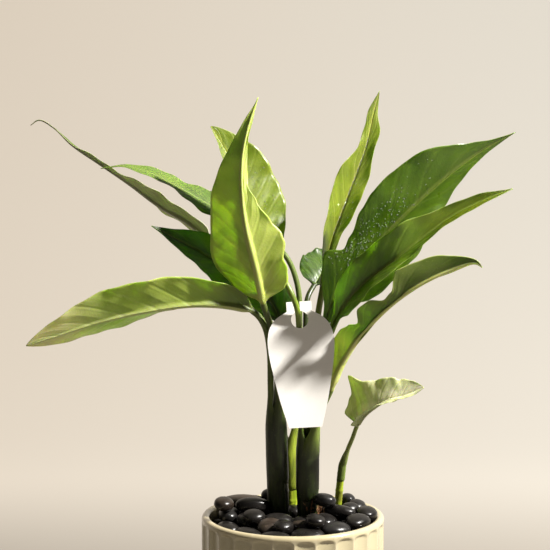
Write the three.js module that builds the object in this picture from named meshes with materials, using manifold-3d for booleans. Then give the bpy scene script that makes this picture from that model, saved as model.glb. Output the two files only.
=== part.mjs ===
// A Chinese evergreen (Aglaonema) in a fluted ceramic pot, dressed with black pebbles, with a paper tag.
// Millimetres, +Z up, the origin at the centre of the pot's base, -Y towards the front.
import * as THREE from "three";
import { mergeVertices } from "three/addons/utils/BufferGeometryUtils.js";
import Module from "manifold-3d";

const wasm = await Module();
wasm.setup();

// ---- Driving dimensions ----
const clearance = 0.3; // between pieces that touch

const potRadius = 75;
const potHeight = 130;
const potWall = 6.8;
const potFloor = 9;
const potFootRound = 3;
const potLipRound = 2.4;
const fluteCount = 28;
const fluteDepth = 1.7;
const fluteSteps = 4; // facets across one flute
const fluteTop = 5; // how far below the rim the flutes reach full depth

const soilDrop = 9; // soil crown below the pot's rim
const soilCrown = 7; // how much higher the soil is in the middle than at the wall
const plantingDepth = 24; // how far the shoots go into the soil

const stalkThickness = 4.6; // of an ordinary leaf stalk
const leafEdge = 0.8; // thickness of a blade away from its midrib
const leafAcross = [-1, -0.58, -0.16, 0, 0.16, 0.58, 1]; // where a blade is sampled, from edge to edge
const stalkRings = 9;
const bladeRings = 13;

const tagLength = 100;
const tagWidth = 53;
const tagFoot = 26;
const tagNeckWidth = 20;
const tagNeckLength = 8;
const tagHoleSlack = 9.2; // how much wider than the stalk in it the hole is
const tagThickness = 0.8;
const tagSlit = 1.2;
const tagLean = 12; // degrees, with the foot of the tag forward
const tagRoll = 3; // degrees, with the foot of the tag to the right
const tagNeckTop = 14.5; // from the hole's centre to the top of the neck
const tagHole = [5, -26, 163]; // the hole's centre, from the middle of the rim

const up = new THREE.Vector3(0, 0, 1);
const vector = (point) => new THREE.Vector3(...point);
const aboveRim = ([x, y, z]) => new THREE.Vector3(x, y, potHeight + z);
const mix = THREE.MathUtils.lerp;
const radians = THREE.MathUtils.degToRad;

// ---- Materials ----
const material = (colour, roughness) =>
  new THREE.MeshStandardMaterial({ color: colour, roughness, metalness: 0 });
const glaze = material(0xcfc5a0, 0.3);
const earth = material(0x3b2a1e, 0.95);
const greenLeaf = material(0x5f8a2e, 0.4);
const greenShoot = material(0x4c6b25, 0.45);
const blackStone = material(0x1d1b1b, 0.25);
const card = material(0xf6f1e8, 0.8);

const group = new THREE.Group();

function addMesh(name, geometry, look) {
  const mesh = new THREE.Mesh(geometry, look);
  mesh.name = name;
  group.add(mesh);
  return mesh;
}

// ---- Solids: booleans and lofts ----
function toSolid(geometry) {
  const bare = geometry.index ? geometry.toNonIndexed() : geometry.clone();
  bare.deleteAttribute("normal");
  bare.deleteAttribute("uv");
  const merged = mergeVertices(bare, 1e-4);
  const vertProperties = merged.attributes.position.array;
  const triVerts = new Uint32Array(merged.index.array);
  return new wasm.Manifold(new wasm.Mesh({ numProp: 3, vertProperties, triVerts }));
}

function toGeometry(solid) {
  const mesh = solid.getMesh();
  const position = new THREE.BufferAttribute(new Float32Array(mesh.vertProperties), 3);
  const geometry = new THREE.BufferGeometry().setAttribute("position", position);
  return geometry.setIndex(new THREE.BufferAttribute(mesh.triVerts, 1));
}

// A closed skin over rings of an even number of points, capped at both ends.
function loft(rings) {
  const count = rings[0].length;
  const points = rings.flat();
  const index = [];
  for (let r = 0; r + 1 < rings.length; r++) {
    for (let i = 0; i < count; i++) {
      const a = r * count + i;
      const b = r * count + ((i + 1) % count);
      index.push(a, b, b + count, a, b + count, a + count);
    }
  }
  const last = (rings.length - 1) * count;
  for (let i = 0; i + 1 < count / 2; i++) {
    const j = count - 1 - i;
    index.push(i, j, i + 1, i + 1, j, j - 1);
    index.push(last + i, last + i + 1, last + j, last + i + 1, last + j - 1, last + j);
  }
  return new THREE.BufferGeometry().setFromPoints(points).setIndex(index);
}

// ---- Pot: a turned profile with flutes pressed into its outside ----
function fluteInset(angle, z) {
  const pitch = (2 * Math.PI) / fluteCount;
  const across = ((angle / pitch) % 1) * 2 - 1; // -1 to 1 over one flute
  const fade = THREE.MathUtils.smoothstep(potHeight - z, 0, fluteTop);
  return fluteDepth * (1 - across * across) * fade;
}

function makePot() {
  const inner = potRadius - potWall;
  const profile = [
    [0, 0],
    [potRadius - potFootRound, 0],
    [potRadius, potFootRound],
    [potRadius, potHeight - fluteTop],
    [potRadius, potHeight - potLipRound],
    [potRadius - 0.3 * potLipRound, potHeight - 0.3 * potLipRound],
    [potRadius - potLipRound, potHeight],
    [inner + potLipRound, potHeight],
    [inner, potHeight - potLipRound],
    [inner, potFloor],
    [0, potFloor],
  ].map(([r, z]) => new THREE.Vector2(r, z));
  const pot = new THREE.LatheGeometry(profile, fluteCount * fluteSteps).rotateX(Math.PI / 2);
  const position = pot.attributes.position;
  const point = new THREE.Vector3();
  for (let i = 0; i < position.count; i++) {
    point.fromBufferAttribute(position, i);
    const radius = Math.hypot(point.x, point.y);
    if (radius < inner + 2 * potLipRound || point.z < potFootRound / 2) continue;
    const angle = Math.atan2(point.y, point.x) + 2 * Math.PI;
    const scale = (radius - fluteInset(angle, point.z)) / radius;
    position.setXY(i, point.x * scale, point.y * scale);
  }
  return toGeometry(toSolid(pot));
}

// ---- Soil: fills the pot up to a low crown, with a socket for each shoot ----
const soilRadius = potRadius - potWall - clearance;
const soilTop = (radius) => potHeight - soilDrop - soilCrown * (radius / soilRadius) ** 2;

function makeSoil(sockets) {
  const bottom = potFloor + clearance;
  const steps = 4;
  const profile = [new THREE.Vector2(0, bottom), new THREE.Vector2(soilRadius, bottom)];
  for (let i = steps; i >= 0; i--) {
    const radius = (soilRadius * i) / steps;
    profile.push(new THREE.Vector2(radius, soilTop(radius)));
  }
  let soil = toSolid(new THREE.LatheGeometry(profile, 28).rotateX(Math.PI / 2));
  for (const socket of sockets) soil = soil.subtract(toSolid(socket));
  return toGeometry(soil);
}

// ---- Shoots: sheathed stems that stand in the soil and carry the leaves ----
// path runs from the soil line to the top; radius is [at the foot, at the top].
const shoots = {
  shoot_left: {
    path: [[-11, 12, -11], [-12, 4, 20], [-13, -4, 48], [-13.5, -7.5, 70]],
    radius: [8.6, 8.2],
  },
  shoot_centre: { path: [[12, 4, -11], [12, -1, 10], [12, -4, 30], [12, -5, 48]], radius: [8.6, 8.8] },
  shoot_back: { path: [[-1, 40, -12], [-1, 36, 15], [-2, 33, 42]], radius: [5, 6.4] },
  shoot_small: { path: [[37, 20, -12], [39, 15, 16], [41, 11, 38]], radius: [3.6, 3] },
};

function makeShoot({ path, radius }, grow = 0) {
  const foot = aboveRim(path[0]);
  const buried = foot.clone().setZ(foot.z - plantingDepth - grow);
  const curve = new THREE.CatmullRomCurve3([buried, ...path.map(aboveRim)]);
  const rings = [];
  const steps = 8;
  const sides = 10;
  for (let i = 0; i <= steps; i++) {
    const along = i / steps;
    const centre = curve.getPointAt(along);
    const size = mix(radius[0], radius[1], along) * (i === 0 ? 0.6 : 1) + grow;
    const tangent = i < steps ? curve.getTangentAt(along) : up;
    const side = new THREE.Vector3(1, 0, 0).addScaledVector(tangent, -tangent.x).normalize();
    const front = new THREE.Vector3().crossVectors(tangent, side);
    const ring = [];
    for (let k = 0; k < sides; k++) {
      const angle = (2 * Math.PI * k) / sides;
      ring.push(
        centre
          .clone()
          .addScaledVector(side, size * Math.cos(angle))
          .addScaledVector(front, size * Math.sin(angle)),
      );
    }
    rings.push(ring);
  }
  return loft(rings);
}

// ---- Leaves: one loft each, whose section turns from a round stalk into a thin blade ----
// foot: where the stalk stands on its shoot. stalk and blade: points along the midrib.
// width: half the blade's width. widest: share of the blade's length where it is widest.
// tip: above 1 draws the tip out to a point.
// face: which way the upper side looks, at the blade's base and at its tip.
// left and right: the blade's halves, seen from the upper side with the tip up. Each has
// fold [base, tip] and curl [base, tip] in degrees: fold lifts the half from the midrib
// towards the upper side, and curl bends it on towards its edge. trim, where a half has it, is a
// list of [share of the blade's length, factor on the half's width].
const leaves = {
  leaf_front_left: {
    on: "shoot_left",
    foot: [-17.2, -8],
    stalk: [[-18, -12, 106], [-19, -15, 138], [-23, -18, 157]],
    blade: [
      [-31, -20.5, 168], [-46, -24, 173], [-76, -34, 176], [-113, -43, 172], [-150, -49, 164],
      [-182, -54, 154], [-207, -58, 146],
    ],
    width: 26,
    widest: 0.48,
    tip: 0.85,
    face: [[0, 1, 0.2], [0, 0.8, 0.6]],
    left: { fold: [0, 0], curl: [-20, 10], trim: [[0, 1.1], [0.1, 1.1], [0.25, 0.97], [0.4, 1]] },
    right: { fold: [78, 15], curl: [10, 0] },
    stalkRadius: 2.5,
  },
  leaf_front_centre: {
    on: "shoot_left",
    foot: [-11, -11],
    stalk: [[-12, -15, 106], [-13.5, -19, 138], [-18, -21, 157]],
    blade: [
      [-24, -28, 176], [-30, -37, 206], [-37, -40, 236], [-40, -39, 262], [-40, -34, 290],
      [-35, -26, 317], [-28, -20, 339],
    ],
    width: 29,
    widest: 0.3,
    tip: 1.7,
    face: [[0.2, 1, 0.3], [0.3, 1, 0.1]],
    left: {
      fold: [22, 30],
      curl: [-15, 0],
      trim: [
        [0, 1.4], [0.08, 1.1], [0.14, 0.95], [0.2, 0.8], [0.26, 0.88], [0.3, 0.85], [0.39, 0.66],
        [0.49, 0.42], [0.57, 0.2], [0.8, 0.25], [0.92, 0.6],
      ],
    },
    right: {
      fold: [22, 15],
      curl: [-15, -10],
      trim: [
        [0, 1.1], [0.1, 1.12], [0.23, 1.2], [0.4, 1.12], [0.6, 1.25], [0.8, 1.3], [0.93, 1.5],
      ],
    },
    stalkRadius: 2.5,
  },
  leaf_low_left: {
    on: "shoot_left",
    foot: [-12.5, -2.8],
    stalk: [[-13, 0, 102], [-12, 5, 135]],
    blade: [
      [-11, 9, 156], [-16, 13, 171], [-31, 16, 187], [-56, 14, 204], [-80, 10, 218], [-100, 4, 229],
      [-115, 0, 237],
    ],
    width: 23,
    face: [[0.2, -0.9, 0.3], [0, -0.7, 0.7]],
  },
  leaf_behind_centre: {
    on: "shoot_centre",
    foot: [7, -6],
    stalk: [[7, -13, 104], [5.5, -18.5, 140], [4.4, -24, 158.5], [3, -29.3, 171.5], [-3, -30, 187]],
    blade: [
      [-13, -20, 203], [-22, -8, 222], [-31, 2, 245], [-40, 8, 266], [-52, 11, 292], [-67, 12, 318],
    ],
    width: 28,
    widest: 0.58,
    tip: 0.8,
    face: [[0.5, -0.8, 0.4], [0.3, -0.9, 0.2]],
    left: { fold: [10, 65], curl: [0, 0], trim: [[0, 1], [0.7, 0.9], [0.9, 0.8]] },
    right: { fold: [10, 10], curl: [0, 0], trim: [[0, 1], [0.3, 1.08], [0.7, 1], [0.9, 0.85]] },
  },
  leaf_tall: {
    on: "shoot_centre",
    foot: [10.5, 1],
    stalk: [[15, 3, 102], [19, 6, 143], [21, 5, 166]],
    blade: [
      [24, 3, 184], [31, 1, 222], [42, 0, 254], [51, 0, 278], [59, 0, 301], [65, 2, 327],
      [70, 4, 346],
    ],
    width: 17,
    widest: 0.5,
    face: [[0.6, -0.8, 0], [0.1, -0.95, 0.1]],
    left: {
      fold: [40, 5],
      curl: [20, 0],
      trim: [
        [0, 1.5], [0.25, 1.5], [0.43, 1.2], [0.58, 1.12], [0.72, 0.52], [0.82, 0.5], [0.92, 0.9],
      ],
    },
    right: {
      fold: [30, 5],
      curl: [20, 0],
      trim: [
        [0, 0.5], [0.25, 0.42], [0.43, 0.5], [0.58, 0.62], [0.72, 0.47], [0.82, 0.8], [0.9, 0.55],
      ],
    },
    stalkRadius: 2.6,
  },
  leaf_right: {
    on: "shoot_centre",
    foot: [16.2, -0.5],
    stalk: [[20, -8, 104]],
    blade: [
      [24, -15, 145], [29, -20, 171], [41, -22, 195], [61, -24, 218], [84, -24, 242], [116, -20, 271],
      [149, -15, 296], [178, -10, 312],
    ],
    width: 39,
    widest: 0.49,
    tip: 1.4,
    face: [[-0.3, -0.9, 0.3], [-0.1, -0.9, 0.4]],
    left: {
      fold: [12, 60],
      curl: [-10, 0],
      trim: [
        [0, 0.3], [0.1, 0.35], [0.215, 0.75], [0.256, 0.85], [0.302, 0.48], [0.346, 0.55],
        [0.433, 0.68], [0.494, 0.76], [0.581, 0.88], [0.677, 0.98], [0.738, 0.98], [0.791, 0.88],
        [0.843, 0.8], [0.913, 0.6],
      ],
    },
    right: {
      fold: [-10, -40],
      curl: [0, 0],
      trim: [
        [0, 0.3], [0.1, 0.4], [0.215, 1], [0.433, 0.75], [0.634, 0.48], [0.738, 0.36], [0.913, 0.3],
      ],
    },
  },
  leaf_front_right: {
    on: "shoot_centre",
    foot: [17.2, -6.5],
    stalk: [[22, -15, 104]],
    blade: [
      [27, -19, 142], [37, -26, 169], [54, -41, 192], [78, -51, 212], [102, -50, 231], [126, -46, 248],
      [150, -40, 259], [172, -33, 267],
    ],
    width: 25,
    widest: 0.5,
    tip: 1.2,
    face: [[-0.2, -0.9, 0.3], [-0.1, -0.9, 0.4]],
    left: {
      fold: [5, 50],
      curl: [0, 0],
      trim: [
        [0, 0.3], [0.12, 0.4], [0.196, 0.8], [0.408, 0.8], [0.577, 0.72], [0.679, 0.54],
        [0.788, 0.44], [0.915, 0.6],
      ],
    },
    right: {
      fold: [52, 50],
      curl: [-10, 0],
      trim: [
        [0, 0.3], [0.12, 0.5], [0.196, 1], [0.256, 1], [0.365, 0.7], [0.492, 0.45], [0.662, 0.4],
        [0.831, 0.6], [0.958, 1],
      ],
    },
  },
  leaf_low_right: {
    on: "shoot_centre",
    foot: [12.5, -10.8],
    stalk: [[20, -19, 82]],
    blade: [
      [30, -25, 106], [38, -28, 126], [49, -34, 146], [62, -43, 163], [79, -52, 180],
      [99, -57, 194], [120, -60, 204], [138, -64, 210], [144, -65, 207],
    ],
    width: 18,
    widest: 0.45,
    face: [[0, 1, 0.2], [0.2, 0.9, 0.4]],
    left: {
      fold: [60, 50],
      curl: [0, 0],
      trim: [[0, 1], [0.08, 0.6], [0.2, 0.2], [0.5, 0.15], [0.62, 0.3], [0.8, 0.4]],
    },
    right: {
      fold: [12, 10],
      curl: [0, 0],
      trim: [
        [0, 1], [0.1, 1.1], [0.2, 1], [0.26, 0.9], [0.31, 0.7], [0.35, 0.45], [0.41, 0.85],
        [0.47, 0.8], [0.53, 0.42], [0.57, 0.5], [0.64, 1.2], [0.72, 1.2], [0.84, 1.5], [0.93, 1.6],
      ],
    },
    wave: 6,
    waves: 1.5,
    stalkRadius: 2.2,
  },
  leaf_far_left: {
    on: "shoot_back",
    foot: [-5.6, 34.2],
    stalk: [[-9, 40, 89], [-17, 47, 131], [-26, 53, 172], [-45, 60, 204]],
    blade: [
      [-69, 64, 220], [-88, 66, 237], [-114, 68, 252.5], [-140, 70, 271.5], [-166, 72, 289],
      [-190, 74, 305], [-206, 75, 320], [-219, 75, 326.5], [-226.5, 75, 322],
    ],
    width: 21,
    widest: 0.3,
    tip: 1.3,
    face: [[-0.2, 0.6, 0.8], [-0.2, 0, 1]],
    left: {
      fold: [20, 15],
      curl: [-10, 0],
      trim: [
        [0, 0.6], [0.15, 0.5], [0.45, 0.45], [0.58, 0.22], [0.8, 0.3], [1, 0.6],
      ],
    },
    right: {
      fold: [20, 15],
      curl: [-10, 0],
      trim: [
        [0, 0.6], [0.15, 0.5], [0.45, 0.45], [0.58, 0.22], [0.8, 0.3], [1, 0.6],
      ],
    },
  },
  leaf_upper_left: {
    on: "shoot_back",
    foot: [0.2, 29.6],
    stalk: [[4, 28, 96], [6, 29, 158], [4, 32, 187]],
    blade: [
      [-6, 36, 211], [-34, 38, 233], [-67, 36, 252.5], [-94, 32, 268], [-118, 28, 280],
      [-139, 25, 286], [-159, 23, 284],
    ],
    width: 22,
    face: [[0.1, -0.6, 0.8], [-0.1, -0.3, 0.9]],
    left: { fold: [15, 5], curl: [-10, 0], trim: [[0, 0.75]] },
    right: { fold: [5, 0], curl: [0, 0], trim: [[0, 0.7], [0.5, 0.8]] },
  },
  leaf_back: {
    on: "shoot_back",
    foot: [1, 36.2],
    stalk: [[8, 37, 99], [11, 43, 140], [13, 51, 173]],
    blade: [[19, 62, 184], [29, 82, 198], [39, 102, 206], [46, 120, 208]],
    width: 20,
    face: [[0, -0.7, 0.7], [0, -0.6, 0.8]],
  },
  leaf_small: {
    on: "shoot_small",
    foot: [41, 11],
    stalk: [[45, 4, 52], [49, -3, 64]],
    blade: [
      [52, -8, 74], [57, -12, 83], [64.5, -18, 91], [75, -22, 98], [89.5, -25, 102.5],
      [104, -28, 109],
    ],
    width: 16,
    widest: 0.24,
    tip: 0.9,
    face: [[-0.3, -0.6, 0.8], [0, -0.8, 0.6]],
    left: {
      fold: [40, 10],
      curl: [20, 0],
      trim: [
        [0, 0.9], [0.1, 0.95], [0.2, 1.1], [0.3, 1.85], [0.42, 1.35], [0.55, 1.3], [0.7, 1.45],
        [0.85, 2], [0.95, 2.4],
      ],
    },
    right: {
      fold: [65, 20],
      curl: [0, 0],
      trim: [
        [0, 0.9], [0.2, 0.7], [0.6, 0.6], [0.9, 0.7],
      ],
    },
    stalkRadius: 1.8,
  },
};

const leafDefaults = {
  widest: 0.36,
  tip: 1.15,
  left: { fold: [20, 15], curl: [-10, 0] },
  right: { fold: [20, 15], curl: [-10, 0] },
  stalkRadius: stalkThickness / 2,
  wave: 1.2,
  waves: 2.5,
};

// Half width along a blade, from 0 to 1: a lance shape that is 1 where the blade is widest.
function lance(along, { widest, tip }) {
  const rise = (widest * tip) / (1 - widest);
  return (along / widest) ** rise * ((1 - along) / (1 - widest)) ** tip;
}

// A value that eases from each [place, value] mark to the next.
function eased(place, marks) {
  const next = marks.findIndex(([at]) => place < at);
  if (next < 1) return marks.at(next)[1];
  const [from, first] = marks[next - 1];
  const [to, second] = marks[next];
  return mix(first, second, THREE.MathUtils.smoothstep(place, from, to));
}

// A point across half a blade: how far out and how far up it lies, after fold and curl.
function halfSection(share, width, fold, curl) {
  const from = radians(fold);
  const turn = radians(curl) * share;
  if (Math.abs(turn) < 1e-3) {
    return [width * share * Math.cos(from), width * share * Math.sin(from)];
  }
  const radius = (width * share) / turn;
  return [
    radius * (Math.sin(from + turn) - Math.sin(from)),
    radius * (Math.cos(from) - Math.cos(from + turn)),
  ];
}

function leafRing(leaf, centre, tangent, along) {
  const blade = Math.max(along, 0);
  const face = vector(leaf.face[0]).lerp(vector(leaf.face[1]), blade);
  const lift = face.addScaledVector(tangent, -face.dot(tangent)).normalize();
  const side = new THREE.Vector3().crossVectors(tangent, lift);
  const spread = THREE.MathUtils.smoothstep(along, 0, 0.07);
  const rib = leaf.stalkRadius * (1 - blade) ** 0.9;
  const full = leaf.stalkRadius * (1 - blade) + leaf.width * (along > 0 ? lance(blade, leaf) : 0);
  const top = [];
  const bottom = [];
  for (const across of leafAcross) {
    const half = across < 0 ? leaf.left : leaf.right;
    const fold = mix(half.fold[0], half.fold[1], blade);
    const curl = mix(half.curl[0], half.curl[1], blade);
    const share = Math.abs(across);
    const width = full * eased(blade, half.trim ?? [[0, 1]]) + 0.3;
    const [out, rise] = halfSection(share, width, fold, curl);
    const phase = 2 * Math.PI * (leaf.waves * blade + (across < 0 ? 0.3 : 0));
    const ripple = leaf.wave * Math.sin(phase) * Math.sin(Math.PI * blade) * share * share;
    const slope = radians(fold + curl * share) * Math.sign(across);
    const thick = leafEdge + 1.6 * rib * Math.max(0, 1 - (share * width) / (1.6 * rib + 0.2));
    const x = Math.sign(across) * out;
    const y = rise + ripple;
    const round = (across * Math.PI) / 2.3;
    const stalkX = leaf.stalkRadius * Math.sin(round);
    const stalkY = leaf.stalkRadius * Math.cos(round);
    top.push([mix(stalkX, x, spread), mix(stalkY, y, spread)]);
    bottom.push([
      mix(stalkX, x + thick * Math.sin(slope), spread),
      mix(-stalkY, y - thick * Math.cos(slope), spread),
    ]);
  }
  return [...top, ...bottom.reverse()].map(([x, y]) =>
    centre.clone().addScaledVector(side, x).addScaledVector(lift, y),
  );
}

function makeLeaf(spec) {
  const leaf = { ...leafDefaults, ...spec };
  const shootTop = shoots[leaf.on].path.at(-1)[2];
  const foot = [...leaf.foot, shootTop + clearance];
  const points = [foot, ...leaf.stalk, ...leaf.blade].map(aboveRim);
  const curve = new THREE.CatmullRomCurve3(points);
  const samples = 40 * (points.length - 1);
  const lengths = curve.getLengths(samples);
  const start = lengths[40 * (leaf.stalk.length + 1)] / lengths[samples];
  const rings = [];
  for (let i = 0; i < stalkRings; i++) {
    const at = (start * i) / stalkRings;
    const tangent = i > 0 ? curve.getTangentAt(at) : up;
    rings.push(leafRing(leaf, curve.getPointAt(at), tangent, -1));
  }
  for (let i = 0; i <= bladeRings; i++) {
    const along = (i / bladeRings) ** 1.15;
    const at = mix(start, 1, along);
    rings.push(leafRing(leaf, curve.getPointAt(at), curve.getTangentAt(at), along));
  }
  return loft(rings);
}

// ---- Tag: a flask-shaped card, hung by the slit and hole in its neck ----
const tagHoleRadius = (stalkThickness + tagHoleSlack) / 2;

function makeTag() {
  const half = tagWidth / 2;
  const low = tagNeckTop - tagLength;
  const shoulder = tagNeckTop - tagNeckLength;
  const flank = [
    [0.7 * half, shoulder - 0.05 * tagLength],
    [0.93 * half, shoulder - 0.14 * tagLength],
    [half, shoulder - 0.25 * tagLength],
    [0.96 * half, shoulder - 0.37 * tagLength],
    [0.86 * half, shoulder - 0.52 * tagLength],
    [0.7 * half, shoulder - 0.72 * tagLength],
  ];
  const outline = [
    [tagFoot / 2, low],
    ...flank.toReversed(),
    [tagNeckWidth / 2, shoulder],
    [tagNeckWidth / 2, tagNeckTop],
    [tagSlit / 2, tagNeckTop],
  ];
  const slitAngle = Math.asin(tagSlit / 2 / tagHoleRadius);
  const holeSteps = 16;
  for (let i = 0; i <= holeSteps; i++) {
    const angle = Math.PI / 2 - slitAngle - ((2 * Math.PI - 2 * slitAngle) * i) / holeSteps;
    outline.push([tagHoleRadius * Math.cos(angle), tagHoleRadius * Math.sin(angle)]);
  }
  outline.push([-tagSlit / 2, tagNeckTop]);
  outline.push([-tagNeckWidth / 2, tagNeckTop]);
  outline.push([-tagNeckWidth / 2, shoulder]);
  outline.push(...flank.map(([x, y]) => [-x, y]));
  outline.push([-tagFoot / 2, low]);
  const shape = new THREE.Shape(outline.map(([x, y]) => new THREE.Vector2(x, y)));
  const card = new THREE.ExtrudeGeometry(shape, { depth: tagThickness, bevelEnabled: false });
  card.rotateZ(radians(tagRoll));
  card.rotateX(radians(90 - tagLean));
  const hole = aboveRim(tagHole);
  return card.translate(hole.x, hole.y, hole.z);
}

// ---- Pebbles: water-worn stones poured on the soil, each lying on what is under it ----
// x and y as shares of the soil's radius, then length, width and height, turn and tilt in degrees.
const pebbles = [
  // against the pot's wall, from the right, anticlockwise
  [0.82, 0.06, 24, 17, 12, 80, 10],
  [0.75, 0.38, 26, 18, 12, 118, 14],
  [0.54, 0.64, 25, 18, 12, 140, 12],
  [0.25, 0.8, 26, 18, 12, 165, 10],
  [-0.1, 0.83, 25, 19, 12, 10, 12],
  [-0.43, 0.71, 27, 18, 12, 35, 12],
  [-0.74, 0.44, 26, 19, 12, 60, 14],
  [-0.82, 0.13, 26, 18, 12, 85, 12],
  [-0.79, -0.25, 25, 19, 12, 108, 8],
  [-0.59, -0.57, 26, 19, 12, 135, 8],
  [-0.3, -0.77, 26, 18, 12, 160, 6],
  [0.06, -0.82, 27, 19, 12, 5, 6],
  [0.4, -0.71, 25, 19, 12, 28, 6],
  [0.67, -0.49, 26, 18, 12, 55, 8],
  [0.82, -0.18, 23, 17, 12, 78, 8],
  // the middle ring
  [0.52, 0.03, 23, 19, 12, 20, 10],
  [0.32, 0.55, 22, 18, 11, 120, 10],
  [0.24, 0.33, 21, 17, 11, 60, 12],
  [-0.3, 0.48, 24, 19, 12, 10, 10],
  [-0.5, 0.18, 25, 19, 13, 20, 12],
  [-0.53, -0.14, 24, 20, 12, 60, 14],
  [-0.29, -0.44, 23, 21, 12, 30, 24],
  [0.03, -0.49, 25, 20, 12, 170, 22],
  [0.3, -0.42, 20, 18, 12, 60, 20],
  [0.52, -0.3, 28, 18, 12, 150, 18],
  // around the shoots and on top
  [-0.21, -0.18, 24, 17, 12, 0, 12],
  [0.04, -0.28, 20, 15, 11, 10, 14],
  [0.42, -0.2, 20, 16, 11, 130, 14],
  [-0.64, 0.4, 34, 20, 10, 8, 4],
  [-0.51, 0.03, 28, 19, 13, 175, 10],
  [-0.86, -0.06, 20, 16, 11, 80, 10],
  [0.8, 0.21, 21, 15, 12, 80, 10],
  [0.4, 0.18, 18, 14, 11, 60, 10],
  [0.72, -0.1, 17, 13, 10, 40, 10],
  [0, 0.33, 18, 14, 11, 90, 10],
  [0.55, 0.5, 21, 15, 11, 70, 12],
  [-0.44, -0.3, 18, 16, 11, 20, 16],
  [0.69, 0.35, 15, 12, 10, 100, 12],
  [-0.28, 0.66, 20, 16, 11, 20, 10],
  [0.2, -0.62, 20, 16, 11, 100, 10],
  [-0.14, -0.62, 18, 15, 11, 60, 10],
];
const pourHeight = 16; // above the rim
const longestStep = 2;
const farthestRoll = 7;

function makePebble([, , length, width, height, turn, tilt]) {
  const stone = new THREE.IcosahedronGeometry(0.5, 1);
  stone.scale(length, width, height);
  stone.rotateX(radians(tilt));
  return stone.rotateZ(radians(turn));
}

// Lets a stone sink from above x, y, rolling off what is under it, until no way down is left.
const waysDown = [[0, 0], [1, 0], [0, 1], [-1, 0], [0, -1], [1, 1], [-1, 1], [-1, -1], [1, -1]];

function settle(stone, x, y, others) {
  const free = (spot) => {
    const placed = stone.translate(spot.toArray());
    return others.every((other) => placed.minGap(other, 2 * clearance) > clearance);
  };
  let spot = new THREE.Vector3(x, y, potHeight + pourHeight);
  for (let turn = 0; !free(spot) && turn < 40; turn++) {
    const out = 0.25 * turn;
    spot.x = x + out * Math.cos(turn);
    spot.y = y + out * Math.sin(turn);
  }
  let step = longestStep;
  while (step > clearance / 4) {
    const below = waysDown.map(([east, north]) => {
      const drop = east || north ? step / 2 : step;
      return spot.clone().add(new THREE.Vector3(east * step, north * step, -drop));
    });
    const near = below.filter((way) => Math.hypot(way.x - x, way.y - y) < farthestRoll);
    const next = near.find(free);
    if (next) spot = next;
    else step /= 2;
  }
  return spot;
}

addMesh("pot", makePot(), glaze);
for (const [name, shoot] of Object.entries(shoots)) addMesh(name, makeShoot(shoot), greenShoot);
addMesh("soil", makeSoil(Object.values(shoots).map((shoot) => makeShoot(shoot, clearance))), earth);
const inTheWay = group.children.map((mesh) => toSolid(mesh.geometry));
pebbles.forEach((pebble, i) => {
  const stone = makePebble(pebble);
  const [x, y] = [pebble[0] * soilRadius, pebble[1] * soilRadius];
  const spot = settle(toSolid(stone), x, y, inTheWay);
  const name = `pebble_${String(i + 1).padStart(2, "0")}`;
  inTheWay.push(toSolid(addMesh(name, stone.translate(...spot.toArray()), blackStone).geometry));
});
for (const [name, leaf] of Object.entries(leaves)) addMesh(name, makeLeaf(leaf), greenLeaf);
addMesh("tag", makeTag(), card);

export default group;
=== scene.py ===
"""Looks for the potted Chinese evergreen: leaves, sheathed shoots, pebbles, soil, tag and glazed pot.

Lengths that copy the CAD part are in millimetres, as there, and turned into metres when a mesh is made.
"""
import math

import bmesh
import bpy
import numpy as np
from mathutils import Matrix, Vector, noise


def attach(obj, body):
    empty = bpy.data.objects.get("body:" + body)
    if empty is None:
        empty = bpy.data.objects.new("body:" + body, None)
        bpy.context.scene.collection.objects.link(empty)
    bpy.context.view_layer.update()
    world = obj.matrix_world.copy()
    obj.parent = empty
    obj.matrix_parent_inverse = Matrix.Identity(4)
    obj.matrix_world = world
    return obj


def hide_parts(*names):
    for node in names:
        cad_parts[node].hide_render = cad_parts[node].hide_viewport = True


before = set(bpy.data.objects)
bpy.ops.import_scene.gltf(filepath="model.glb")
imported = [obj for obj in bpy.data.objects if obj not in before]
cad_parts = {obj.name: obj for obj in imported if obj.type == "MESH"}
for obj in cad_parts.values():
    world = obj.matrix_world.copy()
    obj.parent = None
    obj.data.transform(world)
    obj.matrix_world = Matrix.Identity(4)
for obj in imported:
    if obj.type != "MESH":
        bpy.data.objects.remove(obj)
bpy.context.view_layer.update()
MM = 0.001
RIM = 130.0  # height of the pot's rim
rng = np.random.default_rng(7)

# ---------------------------------------------------------------- small helpers


def make_object(name, verts, faces, materials, face_material=None, uv=None):
    """A mesh object in metres from vertices in millimetres. uv is one (u, v) for each vertex."""
    mesh = bpy.data.meshes.new(name)
    mesh.from_pydata((np.asarray(verts, float) * MM).tolist(), [], faces)
    for item in materials:
        mesh.materials.append(item)
    if face_material is not None:
        mesh.polygons.foreach_set("material_index", np.asarray(face_material, dtype=np.int32))
    if uv is not None:
        layer = mesh.uv_layers.new(name="Surface")
        index = np.empty(len(mesh.loops), dtype=np.int32)
        mesh.loops.foreach_get("vertex_index", index)
        layer.data.foreach_set("uv", np.asarray(uv, np.float32)[index].ravel())
    mesh.polygons.foreach_set("use_smooth", np.full(len(mesh.polygons), True))
    mesh.validate()
    mesh.update()
    piece = bpy.data.objects.new(name, mesh)
    bpy.context.scene.collection.objects.link(piece)
    return piece


def wall_faces(rings, count):
    """Quads between successive rings of count points."""
    faces = []
    for r in range(rings - 1):
        for i in range(count):
            a, b = r * count + i, r * count + (i + 1) % count
            faces.append((a, b, b + count, a + count))
    return faces


def ring_faces(rings, count):
    """Quads between successive rings, and strips of quads that cap both ends."""
    faces = wall_faces(rings, count)
    last = (rings - 1) * count
    for i in range(count // 2 - 1):
        j = count - 1 - i
        faces.append((i, j, j - 1, i + 1))
        faces.append((last + i, last + i + 1, last + j - 1, last + j))
    return faces


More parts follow.
